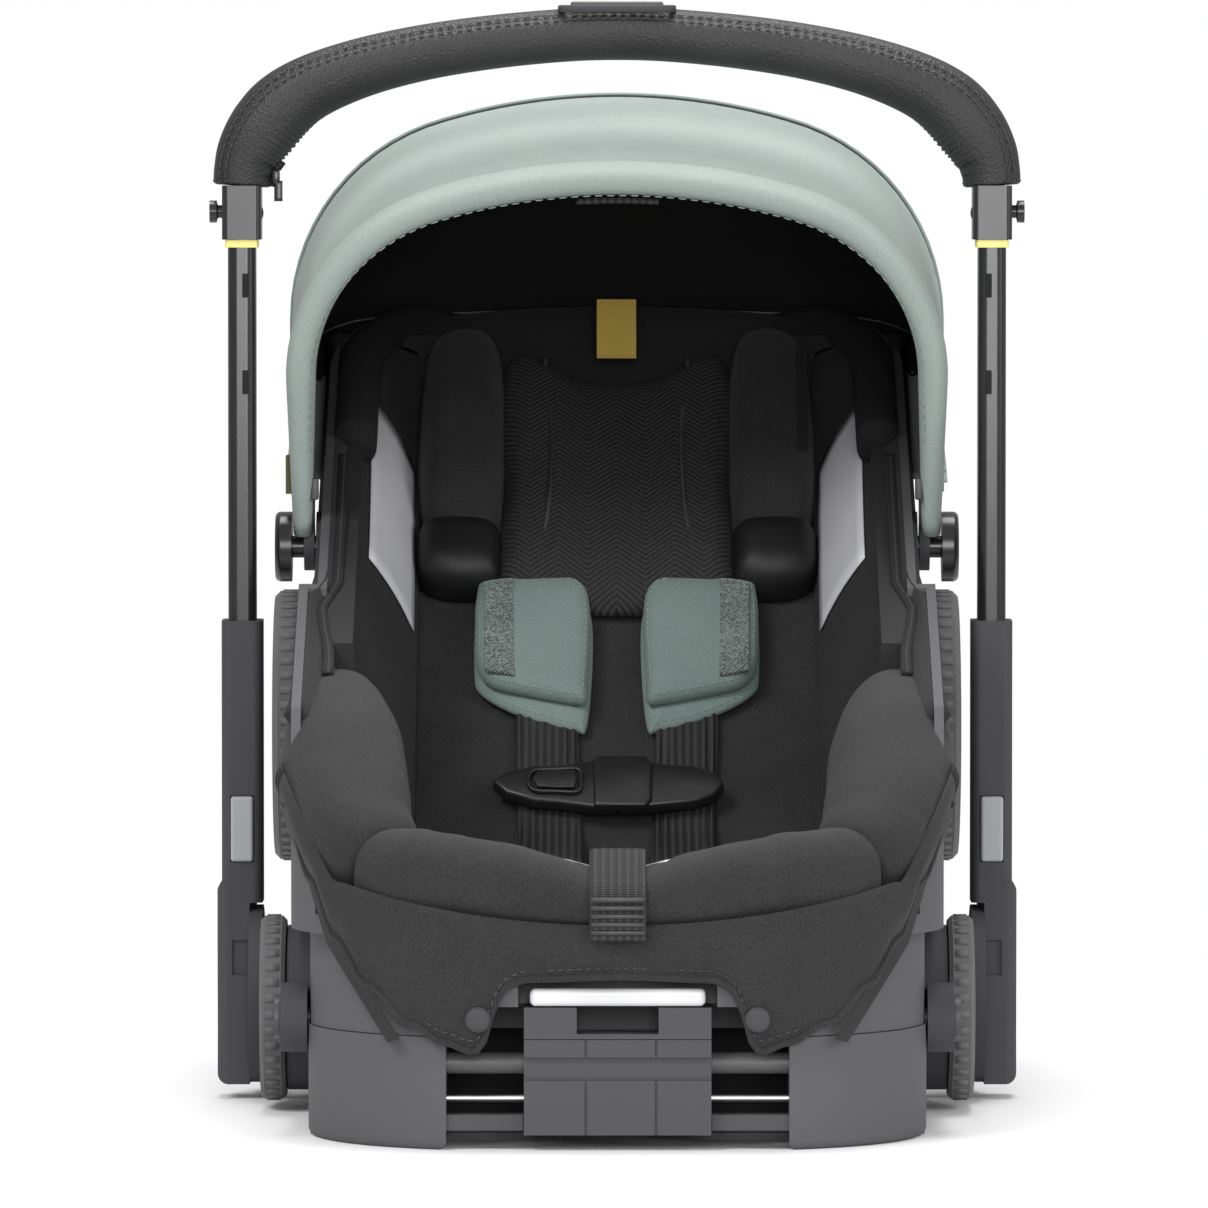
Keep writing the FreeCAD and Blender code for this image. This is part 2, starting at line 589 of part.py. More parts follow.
def outline_sketch(body, role, points):
    """Closed outline on an origin plane of the body."""
    sketch = body.newObject("Sketcher::SketchObject", f"{body.Name}_outline")
    sketch.AttachmentSupport = [(origin_plane(body, role), "")]
    sketch.MapMode = "FlatFace"
    for (x_a, y_a), (x_b, y_b) in zip(points, points[1:] + points[:1]):
        sketch.addGeometry(Part.LineSegment(Vector(x_a, y_a, 0), Vector(x_b, y_b, 0)), False)
    return sketch


def rectangle(wide, deep):
    """Corner points of a centred rectangle."""
    return [(-wide / 2, -deep / 2), (wide / 2, -deep / 2), (wide / 2, deep / 2), (-wide / 2, deep / 2)]


def upright_bar(label, wide, deep, tall, place, corner, bore=None):
    """A padded rounded bar along Z, with an optional rectangular bore from end to end."""
    body = DOC.addObject("PartDesign::Body", label)
    sketch = outline_sketch(body, "XY_Plane", rectangle(wide, deep))
    pad = body.newObject("PartDesign::Pad", f"{label}_pad")
    pad.Profile = sketch
    bind(pad, Length=cell(tall))
    DOC.recompute()
    upright = [f"Edge{index + 1}" for index, edge in enumerate(pad.Shape.Edges) if abs(edge.tangentAt(0).z) > 0.9]
    fillet = body.newObject("PartDesign::Fillet", f"{label}_fillet")
    fillet.Base = (pad, upright)
    fillet.Radius = corner
    if bore:
        hole = outline_sketch(body, "XY_Plane", rectangle(*bore))
        pocket = body.newObject("PartDesign::Pocket", f"{label}_bore")
        pocket.Profile = hole
        pocket.Type = "ThroughAll"
        pocket.Reversed = True
    body.Placement = Placement(place, Rotation())
    return body


def turned(label, profile, place):
    """A body of revolution about X, from an outline of (X, radius) points."""
    body = DOC.addObject("PartDesign::Body", label)
    sketch = outline_sketch(body, "XY_Plane", profile)
    turn = body.newObject("PartDesign::Revolution", f"{label}_turn")
    turn.Profile = sketch
    turn.ReferenceAxis = (sketch, ["H_Axis"])
    turn.Angle = 360
    body.Placement = Placement(place, Rotation())
    return body


def compound(label, parts):
    """Several document objects kept together as one node."""
    group = DOC.addObject("Part::Compound", label)
    group.Links = parts
    return keep(group, label)


RING_UP = size("ring_up")
COLLAR_LOW = RING_UP + size("ring_tall") + 0.2
COLLAR_TOP = COLLAR_LOW + size("upper_collar_tall") - 2
LEG_TOP = size("leg_top")
tubes = []
rings = []
collars = []
knobs = []
for side_name, side in (("left", -1), ("right", 1)):
    place = Vector(side * POST, HUB.y, BORE_LOW + 8)
    tube = upright_bar(f"tube_{side_name}", POST_WIDE, POST_DEEP, f"{COLLAR_TOP - BORE_LOW - 8}", place, 5)
    tubes.append(tube)
    ring_place = Vector(side * POST, HUB.y, RING_UP)
    ring_bore = (POST_WIDE + 0.2, POST_DEEP + 0.2)
    rings.append(upright_bar(f"ring_{side_name}", POST_WIDE + 2.4, POST_DEEP + 2.4, "@ring_tall", ring_place, 1,
                             ring_bore))
    collar_place = Vector(side * POST, HUB.y, COLLAR_LOW)
    collars.append(upright_bar(f"upper_collar_{side_name}", LEG_WIDE - 1, POST_DEEP + 6, "@upper_collar_tall - 2",
                               collar_place, 3, ring_bore))
    knob = turned(f"knob_{side_name}", [(0, 0), (0, 3.5), (2.5, 3.5), (3.2, 6), (7, 6), (7, 0)],
                  Vector(side * (POST + (LEG_WIDE - 1) / 2), HUB.y, COLLAR_LOW + 15))
    if side < 0:
        knob.Placement = Placement(knob.Placement.Base, Rotation(Vector(0, 0, 1), 180))
    knobs.append(knob)
compound("handle_tubes", tubes)
compound("lock_rings", rings)
compound("upper_collars", collars)
compound("thumb_knobs", knobs)

# grip sleeve: round section, thicker at its ends than at its crown, over a bent cross bar
GRIP_TOP = size("grip_top") - size("grip_thick") / 2
GRIP_SMALL = size("grip_corner")
GRIP_SPAN = POST - GRIP_SMALL
GRIP_DROP = size("grip_drop")
GRIP_BIG = GRIP_SMALL + (GRIP_SPAN ** 2 + GRIP_DROP ** 2) / (2 * GRIP_DROP)
GRIP_FOOT = COLLAR_TOP + 0.4
path = arch_wire(POST, GRIP_TOP, GRIP_BIG, GRIP_SMALL, GRIP_FOOT, HUB.y, False)
foot_left = Vector(-POST, HUB.y, GRIP_FOOT)


def swept(radius):
    """Round bar along the grip's path."""
    ring = Part.Wire(Part.makeCircle(radius, foot_left, Vector(0, 0, 1)))
    return path.makePipeShell([ring], True, False)


sleeve_radius = size("grip_thick") / 2
sleeve = swept(sleeve_radius + 1.5)
crossbar = swept(9)
button_slot = solid_box((-25.4, HUB.y - 7.4, GRIP_TOP + 9.5), (25.4, HUB.y + 7.4, GRIP_TOP + 40))
shaped("handle_grip", sleeve.cut(swept(9.05)).cut(button_slot))
shaped("grip_crossbar", crossbar)
button_top = size("grip_top") + 3.2
shaped("handle_button", rounded_box((-25, HUB.y - 7, GRIP_TOP + 12), (25, HUB.y + 7, button_top), 1.5))

# leg housings: a bored upper column, an outer lower column and a round hub plate
STEP_UP = 118.0
HUB_IN = LEG_IN
HUB_WIDE = 7.0
HUB_R = size("hub_dia") / 2
RELEASE_UP = size("release_up")
RELEASE_TALL = size("release_tall")
RELEASE_WIDE = size("release_wide")
LEG_DEEP = size("leg_deep")
LEG_FRONT = HUB.y - LEG_DEEP / 2
for side_name, side in (("left", -1), ("right", 1)):
    def at(x_a, x_b):
        """Ordered pair of X values on this side."""
        return sorted((side * x_a, side * x_b))
    out = LEG_IN + LEG_WIDE
    low_x, high_x = at(LEG_IN, out)
    column = solid_box((low_x, LEG_FRONT, STEP_UP - 12), (high_x, LEG_FRONT + LEG_DEEP, LEG_TOP))
    column = rounded(column, 5, lambda edge: abs(edge.tangentAt(0).z) > 0.9)
    low_x, high_x = at(LEG_IN + HUB_WIDE, out + 2.5)
    lower = solid_box((low_x, LEG_FRONT, size("leg_bottom")), (high_x, LEG_FRONT + LEG_DEEP, STEP_UP))
    outer_edge = side * (out + 2.5)
    lower = rounded(lower, 6, lambda edge: abs(edge.BoundBox.XMin - outer_edge) < 0.01
                    and abs(edge.BoundBox.XMax - outer_edge) < 0.01)
    plate = Part.makeCylinder(HUB_R, HUB_WIDE, HUB + Vector(side * HUB_IN, 0, 0), Vector(side, 0, 0))
    leg = column.fuse([lower, plate])
    low_x, high_x = at(POST - POST_WIDE / 2 - 0.3, POST + POST_WIDE / 2 + 0.3)
    bore = solid_box((low_x, HUB.y - POST_DEEP / 2 - 0.3, BORE_LOW), (high_x, HUB.y + POST_DEEP / 2 + 0.3, SKY))
    bore = rounded(bore, 5, lambda edge: abs(edge.tangentAt(0).z) > 0.9)
    pin_bore = Part.makeCylinder(5.05, HUB_WIDE + 2, HUB + Vector(side * (HUB_IN - 1), 0, 0), Vector(side, 0, 0))
    low_x, high_x = at(POST - RELEASE_WIDE / 2 - 0.4, POST + RELEASE_WIDE / 2 + 0.4)
    well_deep = 4.2
    release_well = solid_box((low_x, LEG_FRONT - 1, RELEASE_UP - RELEASE_TALL / 2 - 0.4),
                             (high_x, LEG_FRONT + well_deep, RELEASE_UP + RELEASE_TALL / 2 + 0.4))
    low_x, high_x = at(POST - 5.5, POST + 5.5)
    window = solid_box((low_x, LEG_FRONT - 1, 67), (high_x, LEG_FRONT + 2, 86))
    leg = leg.cut(bore).cut(pin_bore).cut(release_well).cut(window)
    shaped(f"leg_housing_{side_name}", leg.removeSplitter())
    low_x, high_x = at(POST - RELEASE_WIDE / 2, POST + RELEASE_WIDE / 2)
    release = rounded_box((low_x, LEG_FRONT - size("release_proud"), RELEASE_UP - RELEASE_TALL / 2),
                          (high_x, LEG_FRONT + 1.8, RELEASE_UP + RELEASE_TALL / 2), 1.6)
    shaped(f"leg_release_{side_name}", release)

# ---------------------------------------------------------------- wheel frame

ARM_IN = size("arm_inner")
ARM_WIDE = size("arm_wide")
AXLE_R = size("axle_dia") / 2
CLEAR = size("wheel_gap")
REAR_AXLE = Vector(0, size("rear_axle_back"), size("rear_axle_up"))
FRONT_AXLE = Vector(0, size("front_axle_back"), size("front_axle_up"))
FRONT_PIVOT = Vector(0, size("front_pivot_back"), size("front_pivot_up"))
pins = []
for side in (-1, 1):
    spin = Rotation() if side > 0 else Rotation(Vector(0, 0, 1), 180)
    drum_in = ARM_IN + ARM_WIDE + 0.4 - SHELL_SIDE
    drum_out = HUB_IN - 0.4 - SHELL_SIDE
    profile = [(0, 0), (0, AXLE_R), (drum_in, AXLE_R), (drum_in, 17), (drum_out, 17), (drum_out, AXLE_R),
               (drum_out + HUB_WIDE, AXLE_R), (drum_out + HUB_WIDE, 0)]
    pin = turned("hub_pin", profile, HUB + Vector(side * SHELL_SIDE, 0, 0))
    pin.Placement = Placement(pin.Placement.Base, spin)
    pins.append(pin)
    far = ARM_IN + size("front_arm_wide") + 0.4 - SHELL_SIDE
    profile = [(0, 0), (0, AXLE_R), (far, AXLE_R), (far, 11), (far + 3, 11), (far + 3, 0)]
    pin = turned("front_pivot_pin", profile, FRONT_PIVOT + Vector(side * SHELL_SIDE, 0, 0))
    pin.Placement = Placement(pin.Placement.Base, spin)
    pins.append(pin)
compound("frame_pins", pins)


def link(pivot, axle, root, tip, half_tall, wide, stub, side):
    """Flat arm between a pivot bore and a wheel axle, with a stub axle for the wheel."""
    start = side * ARM_IN
    run = axle - pivot
    reach = run.Length
    bar = solid_box((0, 0, -half_tall), (wide, reach, half_tall))
    bar.rotate(Vector(0, 0, 0), Vector(1, 0, 0), math.degrees(math.atan2(run.z, run.y)))
    bar.translate(Vector(start if side > 0 else start - wide, pivot.y, pivot.z))
    across = Vector(side, 0, 0)
    root_disc = Part.makeCylinder(root, wide, pivot + Vector(start, 0, 0), across)
    tip_disc = Part.makeCylinder(tip, wide, axle + Vector(start, 0, 0), across)
    axle_bar = Part.makeCylinder(AXLE_R, stub, axle + Vector(start, 0, 0), across)
    bore = Part.makeCylinder(AXLE_R + 0.05, wide + 2, pivot + Vector(start - side, 0, 0), across)
    return bar.fuse([root_disc, tip_disc, axle_bar]).cut(bore).removeSplitter()


def wheel(name, axle, inner, wide, radius, side):
    """A rubber tyre on a plastic rim that turns on the stub axle."""
    spin = Rotation() if side > 0 else Rotation(Vector(0, 0, 1), 180)
    place = axle + Vector(side * inner, 0, 0)
    seat = 0.7 * radius
    bevel = 0.16 * wide
    tread = [(0, seat + 0.1), (0, radius - bevel), (bevel, radius), (wide - bevel, radius), (wide, radius - bevel),
             (wide, seat + 0.1)]
    tyre = turned(f"{name}_tyre", tread, place)
    dish = [(0, AXLE_R + 0.05), (0, 14), (0.25 * wide, 16), (0.25 * wide, seat - 4), (0.5, seat), (wide - 0.5, seat),
            (0.75 * wide, seat - 4), (0.75 * wide, 16), (wide, 14), (wide, AXLE_R + 0.05)]
    rim = turned(f"{name}_rim", dish, place)
    for body in (tyre, rim):
        body.Placement = Placement(place, spin)
    keep(tyre, f"{name}_tyre")
    keep(rim, f"{name}_rim")


REAR_IN = ARM_IN + ARM_WIDE + CLEAR
FRONT_IN = ARM_IN + size("front_arm_wide") + CLEAR
REAR_WIDE = size("rear_wheel_wide")
FRONT_WIDE = size("front_wheel_wide")
for side_name, side in (("left", -1), ("right", 1)):
    rear = link(HUB, REAR_AXLE, 21, 20, 13, ARM_WIDE, ARM_WIDE + CLEAR + REAR_WIDE - 0.5, side)
    shaped(f"rear_leg_{side_name}", rear)
    wheel(f"rear_wheel_{side_name}", REAR_AXLE, REAR_IN, REAR_WIDE, size("rear_wheel_dia") / 2, side)
    front = link(FRONT_PIVOT, FRONT_AXLE, 18, 44, 14, size("front_arm_wide"),
                 size("front_arm_wide") + CLEAR + FRONT_WIDE - 0.5, side)
    shaped(f"front_leg_{side_name}", front)
    wheel(f"front_wheel_{side_name}", FRONT_AXLE, FRONT_IN, FRONT_WIDE, size("front_wheel_dia") / 2, side)

# ---------------------------------------------------------------- checks and files

DOC.recompute()
for thing in DOC.Objects:
    if "Invalid" in thing.State or "Error" in thing.State:
        raise RuntimeError(f"{thing.Name} failed: {thing.State}")
os.makedirs("parts", exist_ok=True)
for node in NODES:
    shape = node.Shape
    if shape.isNull() or not shape.isValid() or not shape.Solids:
        raise RuntimeError(f"{node.Label} has no valid solid")
for node in NODES:
    node.Shape.exportStep(f"parts/{node.Label}.step")
print(f"{len(NODES)} nodes written")
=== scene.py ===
"""Infant car seat with a folded wheel frame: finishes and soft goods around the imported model."""

import bisect
import functools
import logging
import math
from collections.abc import Callable, Sequence
from dataclasses import dataclass, field
from enum import Enum

import bmesh
import bpy
from mathutils import Matrix, Vector


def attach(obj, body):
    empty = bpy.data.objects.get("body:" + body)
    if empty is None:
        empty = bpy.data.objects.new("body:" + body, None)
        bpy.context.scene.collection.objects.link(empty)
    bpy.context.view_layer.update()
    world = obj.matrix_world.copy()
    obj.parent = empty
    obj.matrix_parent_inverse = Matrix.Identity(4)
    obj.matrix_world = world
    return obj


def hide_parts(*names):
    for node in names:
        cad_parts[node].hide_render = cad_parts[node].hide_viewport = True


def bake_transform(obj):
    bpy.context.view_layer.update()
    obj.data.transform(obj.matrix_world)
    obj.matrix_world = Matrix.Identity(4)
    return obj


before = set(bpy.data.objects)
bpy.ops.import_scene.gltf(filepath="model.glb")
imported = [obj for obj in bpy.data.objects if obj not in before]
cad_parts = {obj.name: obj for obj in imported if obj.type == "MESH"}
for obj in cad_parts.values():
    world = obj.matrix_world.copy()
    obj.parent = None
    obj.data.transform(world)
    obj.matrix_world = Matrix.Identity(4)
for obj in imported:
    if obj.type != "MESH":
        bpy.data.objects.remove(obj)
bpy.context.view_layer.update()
LOG = logging.getLogger("seat")
Point = tuple[float, float, float]


class Side(Enum):
    """The two sides of the seat, as the sign of X."""

    LEFT = -1
    RIGHT = 1


SIDES = (Side.LEFT, Side.RIGHT)


# ------------------------------------------------------------------ shader groups

def socket_group(name: str, inputs: dict[str, float], outputs: Sequence[str]) -> bpy.types.NodeTree:
    """Make an empty shader group with float sockets.

    Args:
        name: name of the group.
        inputs: input names and their default values.
        outputs: output names.

    Returns:
        The node tree, with its Group Input and Group Output nodes.
    """
    tree = bpy.data.node_groups.new(name, "ShaderNodeTree")
    for key, value in inputs.items():
        made = tree.interface.new_socket(name=key, in_out="INPUT", socket_type="NodeSocketFloat")
        made.default_value = value
    for key in outputs:
        tree.interface.new_socket(name=key, in_out="OUTPUT", socket_type="NodeSocketFloat")
    tree.nodes.new("NodeGroupInput").name = "in"
    tree.nodes.new("NodeGroupOutput").name = "out"
    return tree


@dataclass
class Wiring:
    """Short helper that adds and joins nodes in one tree."""

    tree: bpy.types.NodeTree

    def node(self, kind: str, **inputs: object) -> bpy.types.Node:
        """Add a node and set its plain inputs or properties by name."""
        made = self.tree.nodes.new(kind)
        for key, value in inputs.items():
            label = key.replace("_", " ")
            if label in made.inputs:
                self.put(value, made.inputs[label])
            else:
                setattr(made, key, value)
        return made

    def put(self, value: object, target: bpy.types.NodeSocket) -> None:
        """Link a socket, or set a plain value, on a target socket."""
        if isinstance(value, bpy.types.NodeSocket):
            self.tree.links.new(value, target)
        else:
            target.default_value = value

    def math(self, operation: str, *values: object) -> bpy.types.NodeSocket:
        """Add a math node and return its result."""
        made = self.tree.nodes.new("ShaderNodeMath")
        made.operation = operation
        for target, value in zip(made.inputs, values):
            self.put(value, target)
        return made.outputs[0]

    def place(self) -> bpy.types.NodeSocket:
        """Coordinates fixed to the piece, in metres."""
        return self.tree.nodes.new("ShaderNodeTexCoord").outputs["Object"]

    def axes(self) -> list[bpy.types.NodeSocket]:
        """The three separate coordinates of the piece."""
        split = self.tree.nodes.new("ShaderNodeSeparateXYZ")
        self.tree.links.new(self.place(), split.inputs[0])
        return list(split.outputs)


def weave_group() -> bpy.types.NodeTree:
    """Plain weave with heathered threads: Height for bump and Fleck for colour."""
    tree = socket_group("ClothWeave", {"Pitch": 0.0011, "Heather": 900.0}, ("Height", "Fleck"))
    wires = Wiring(tree)
    source = tree.nodes["in"].outputs
    x, y, z = wires.axes()
    turn = wires.math("DIVIDE", 2 * math.pi, source["Pitch"])
    warp = wires.math("SINE", wires.math("MULTIPLY", wires.math("ADD", x, wires.math("MULTIPLY", y, 0.35)), turn))
    weft = wires.math("SINE", wires.math("MULTIPLY", wires.math("ADD", z, wires.math("MULTIPLY", y, 0.65)), turn))
    noise = wires.node("ShaderNodeTexNoise", Vector=wires.place(), Scale=source["Heather"], Detail=3.0)
    big = wires.node("ShaderNodeTexNoise", Vector=wires.place(), Scale=26.0, Detail=4.0)
    height = wires.math("ADD", wires.math("MULTIPLY", warp, weft), noise.outputs["Fac"])
    fleck = wires.math("ADD", wires.math("MULTIPLY", noise.outputs["Fac"], 0.75),
                       wires.math("MULTIPLY", big.outputs["Fac"], 0.25))
    tree.links.new(height, tree.nodes["out"].inputs["Height"])
    tree.links.new(fleck, tree.nodes["out"].inputs["Fleck"])
    return tree


def herringbone_group() -> bpy.types.NodeTree:
    """Knit of slanted ribs that turn at each column: Height and Fleck."""
    tree = socket_group("HerringboneKnit", {"Column": 0.016, "Rib": 0.0034}, ("Height", "Fleck"))
    wires = Wiring(tree)
    source = tree.nodes["in"].outputs
    x, y, z = wires.axes()
    along = wires.math("MULTIPLY", wires.math("ADD", y, z), 0.7071)
    zigzag = wires.math("PINGPONG", x, source["Column"])
    slant = wires.math("ADD", along, wires.math("MULTIPLY", zigzag, 0.8))
    rib = wires.math("SINE", wires.math("MULTIPLY", slant, wires.math("DIVIDE", 2 * math.pi, source["Rib"])))
    noise = wires.node("ShaderNodeTexNoise", Vector=wires.place(), Scale=700.0, Detail=2.0)
    fleck = wires.math("ADD", wires.math("MULTIPLY", rib, 0.28), noise.outputs["Fac"])
    tree.links.new(rib, tree.nodes["out"].inputs["Height"])
    tree.links.new(fleck, tree.nodes["out"].inputs["Fleck"])
    return tree


def grain_group() -> bpy.types.NodeTree:
    """Cells and fine noise, for leather and moulded plastic: Height and Fleck."""
    tree = socket_group("SurfaceGrain", {"Cells": 700.0, "Fine": 2200.0, "Share": 0.6}, ("Height", "Fleck"))
    wires = Wiring(tree)
    source = tree.nodes["in"].outputs
    cells = wires.node("ShaderNodeTexVoronoi", Vector=wires.place(), Scale=source["Cells"])
    fine = wires.node("ShaderNodeTexNoise", Vector=wires.place(), Scale=source["Fine"], Detail=2.0)
    wide = wires.node("ShaderNodeTexNoise", Vector=wires.place(), Scale=14.0, Detail=5.0)
    height = wires.math("ADD", wires.math("MULTIPLY", cells.outputs["Distance"], source["Share"]),
                        wires.math("MULTIPLY", fine.outputs["Fac"], 0.4))
    tree.links.new(height, tree.nodes["out"].inputs["Height"])
    tree.links.new(wide.outputs["Fac"], tree.nodes["out"].inputs["Fleck"])
    return tree


def wear_group() -> bpy.types.NodeTree:
    """Mask of rubbed edges, broken up by noise."""
    tree = socket_group("EdgeWear", {"Amount": 0.3}, ("Mask",))
    wires = Wiring(tree)
    shape = tree.nodes.new("ShaderNodeNewGeometry")
    noise = wires.node("ShaderNodeTexNoise", Vector=wires.place(), Scale=160.0, Detail=4.0)
    sharp = wires.node("ShaderNodeMapRange", Value=shape.outputs["Pointiness"], From_Min=0.52, From_Max=0.62)
    mask = wires.math("MULTIPLY", sharp.outputs[0], noise.outputs["Fac"])
    tree.links.new(wires.math("MULTIPLY", mask, tree.nodes["in"].outputs["Amount"]), tree.nodes["out"].inputs["Mask"])
    return tree


def rib_group() -> bpy.types.NodeTree:
    """Woven webbing: lengthwise ribs across X with a fine crossing thread."""
    tree = socket_group("WebbingRibs", {"Rib": 0.0042, "Thread": 0.0016}, ("Height", "Fleck"))
    wires = Wiring(tree)
    source = tree.nodes["in"].outputs
    x, y, z = wires.axes()
    along = wires.math("ADD", z, wires.math("MULTIPLY", y, 0.8))
    ribs = wires.math("SINE", wires.math("MULTIPLY", x, wires.math("DIVIDE", 2 * math.pi, source["Rib"])))
    threads = wires.math("SINE", wires.math("MULTIPLY", along, wires.math("DIVIDE", 2 * math.pi, source["Thread"])))
    height = wires.math("ADD", ribs, wires.math("MULTIPLY", threads, 0.35))
    tree.links.new(height, tree.nodes["out"].inputs["Height"])
    tree.links.new(wires.math("ADD", wires.math("MULTIPLY", ribs, 0.25), 0.5), tree.nodes["out"].inputs["Fleck"])
    return tree


class Texture(Enum):
    """Surface texture of a finish, as the name of its shader group."""

    WEAVE = "ClothWeave"
    KNIT = "HerringboneKnit"
    GRAIN = "SurfaceGrain"
    RIBS = "WebbingRibs"


GROUP_MAKERS: dict[str, Callable[[], bpy.types.NodeTree]] = {
    "ClothWeave": weave_group,
    "HerringboneKnit": herringbone_group,
    "SurfaceGrain": grain_group,
    "WebbingRibs": rib_group,
    "EdgeWear": wear_group,
}


def group(name: str) -> bpy.types.NodeTree:
    """The shader group of this name, built on first use."""
    return bpy.data.node_groups.get(name) or GROUP_MAKERS[name]()


@dataclass(frozen=True)
class Finish:
    """One material: two shades of a colour, a texture that moves between them, and its gloss."""

    name: str
    dark: Point
    light: Point
    texture: Texture
    settings: tuple[tuple[str, float], ...] = ()
    bump: float = 0.25
    depth: float = 0.0004
    rough: float = 0.6
    rough_swing: float = 0.1
    metal: float = 0.0
    sheen: float = 0.0
    coat: float = 0.0
    wear: float = 0.0
    low: float = 0.3
    high: float = 0.7

    def material(self) -> bpy.types.Material:
        """Build the material on first use and return it."""
        known = bpy.data.materials.get(self.name)
        if known:
            return known
        made = bpy.data.materials.new(self.name)
        made.use_nodes = True
        tree = made.node_tree
        wires = Wiring(tree)
        shader = tree.nodes["Principled BSDF"]
        pattern = tree.nodes.new("ShaderNodeGroup")
        pattern.node_tree = group(self.texture.value)
        for key, value in self.settings:
            pattern.inputs[key].default_value = value
        span = wires.node("ShaderNodeMapRange", Value=pattern.outputs["Fleck"], From_Min=self.low, From_Max=self.high)
        mix = wires.node("ShaderNodeMix", data_type="RGBA")
        mix.inputs[6].default_value = (*self.dark, 1.0)
        mix.inputs[7].default_value = (*self.light, 1.0)
        tree.links.new(span.outputs[0], mix.inputs[0])
        colour = mix.outputs[2]
        if self.wear:
            worn = tree.nodes.new("ShaderNodeGroup")
            worn.node_tree = group("EdgeWear")
            worn.inputs["Amount"].default_value = self.wear
            rub = wires.node("ShaderNodeMix", data_type="RGBA")
            tree.links.new(colour, rub.inputs[6])
            rub.inputs[7].default_value = (*(min(1.0, 2.4 * c + 0.05) for c in self.light), 1.0)
            tree.links.new(worn.outputs["Mask"], rub.inputs[0])
            colour = rub.outputs[2]
        tree.links.new(colour, shader.inputs["Base Color"])
        gloss = wires.node("ShaderNodeMapRange", Value=pattern.outputs["Fleck"],
                           To_Min=self.rough - self.rough_swing, To_Max=min(1.0, self.rough + self.rough_swing))
        tree.links.new(gloss.outputs[0], shader.inputs["Roughness"])
        bump = wires.node("ShaderNodeBump", Strength=self.bump, Distance=self.depth)
        tree.links.new(pattern.outputs["Height"], bump.inputs["Height"])
        tree.links.new(bump.outputs["Normal"], shader.inputs["Normal"])
        shader.inputs["Metallic"].default_value = self.metal
        shader.inputs["Sheen Weight"].default_value = self.sheen
        shader.inputs["Sheen Roughness"].default_value = 0.45
        shader.inputs["Coat Weight"].default_value = self.coat
        shader.inputs["Coat Roughness"].default_value = 0.12
        return made


def grey(value: float, tint: float = 0.0) -> Point:
    """A neutral shade with a slight blue tint."""
    return (value, value, value + tint)


WEAVE, KNIT, GRAIN, RIBS = Texture.WEAVE, Texture.KNIT, Texture.GRAIN, Texture.RIBS
FINE_GRAIN = (("Cells", 1500.0), ("Fine", 3200.0), ("Share", 0.35))
CHARCOAL = Finish("charcoal_cloth", grey(0.006, 0.0005), grey(0.031, 0.0015), WEAVE, bump=0.35, rough=0.9, sheen=0.05)
LINER = Finish("liner_cloth", grey(0.005, 0.0005), grey(0.018, 0.001), WEAVE, bump=0.25, rough=0.92, sheen=0.03)
BLACK_CLOTH = Finish("black_lining", grey(0.004), grey(0.011), WEAVE, bump=0.2, rough=0.93)
KNITTED = Finish("herringbone_knit", grey(0.006), grey(0.040, 0.001), KNIT, bump=0.5, depth=0.0006, rough=0.9,
                 low=0.2, high=0.85)
SATIN_PATCH = Finish("satin_patch", grey(0.005), grey(0.009), GRAIN, FINE_GRAIN, bump=0.08, rough=0.55)
SAGE = Finish("sage_cloth", (0.255, 0.305, 0.285), (0.325, 0.375, 0.352), WEAVE, bump=0.16, rough=0.85, sheen=0.1)
SAGE_PAD = Finish("sage_pad_cloth", (0.13, 0.185, 0.17), (0.205, 0.265, 0.245), WEAVE, bump=0.22, rough=0.8,
                  sheen=0.15)
LOOP_TAPE = Finish("loop_tape", (0.05, 0.085, 0.075), (0.3, 0.38, 0.35), WEAVE, (("Pitch", 0.0023), ("Heather", 620.0)),
                   bump=0.9, depth=0.0012, rough=0.95, sheen=0.3, low=0.42, high=0.6)
WEBBING = Finish("black_webbing", grey(0.006), grey(0.03), RIBS, bump=0.6, depth=0.0007, rough=0.7)
YELLOW_WEB = Finish("yellow_webbing", (0.52, 0.33, 0.05), (0.8, 0.58, 0.17), RIBS, (("Rib", 0.0022),), bump=0.4,
                    rough=0.75)
THREAD = Finish("dark_thread", grey(0.03), grey(0.075), GRAIN, FINE_GRAIN, bump=0.1, rough=0.7)
SAGE_THREAD = Finish("sage_thread", (0.18, 0.24, 0.22), (0.26, 0.32, 0.3), GRAIN, FINE_GRAIN, bump=0.1, rough=0.7)
LEATHER = Finish("grained_leatherette", grey(0.011), grey(0.024), GRAIN,
                 (("Cells", 620.0), ("Fine", 1500.0), ("Share", 0.9)), bump=0.5, depth=0.0008, rough=0.5, wear=0.15)
SHELL_PLASTIC = Finish("shell_plastic", grey(0.024, 0.001), grey(0.033, 0.001), GRAIN, FINE_GRAIN, bump=0.12,
                       rough=0.46, wear=0.2)
HOUSING = Finish("housing_plastic", grey(0.014, 0.001), grey(0.024, 0.001), GRAIN, FINE_GRAIN, bump=0.12, rough=0.5,
                 wear=0.25)
BRACKET = Finish("bracket_plastic", grey(0.016, 0.001), grey(0.026, 0.001), GRAIN, FINE_GRAIN, bump=0.14, rough=0.5,
                 wear=0.3)
GLOSS = Finish("gloss_black", grey(0.006), grey(0.01), GRAIN, FINE_GRAIN, bump=0.04, rough=0.24, coat=0.3, wear=0.1)
CLIP_PLASTIC = Finish("clip_plastic", grey(0.01), grey(0.018), GRAIN, FINE_GRAIN, bump=0.08, rough=0.38, wear=0.2)
DARK_PLASTIC = Finish("dark_grey_plastic", grey(0.045), grey(0.065), GRAIN, FINE_GRAIN, bump=0.1, rough=0.45)
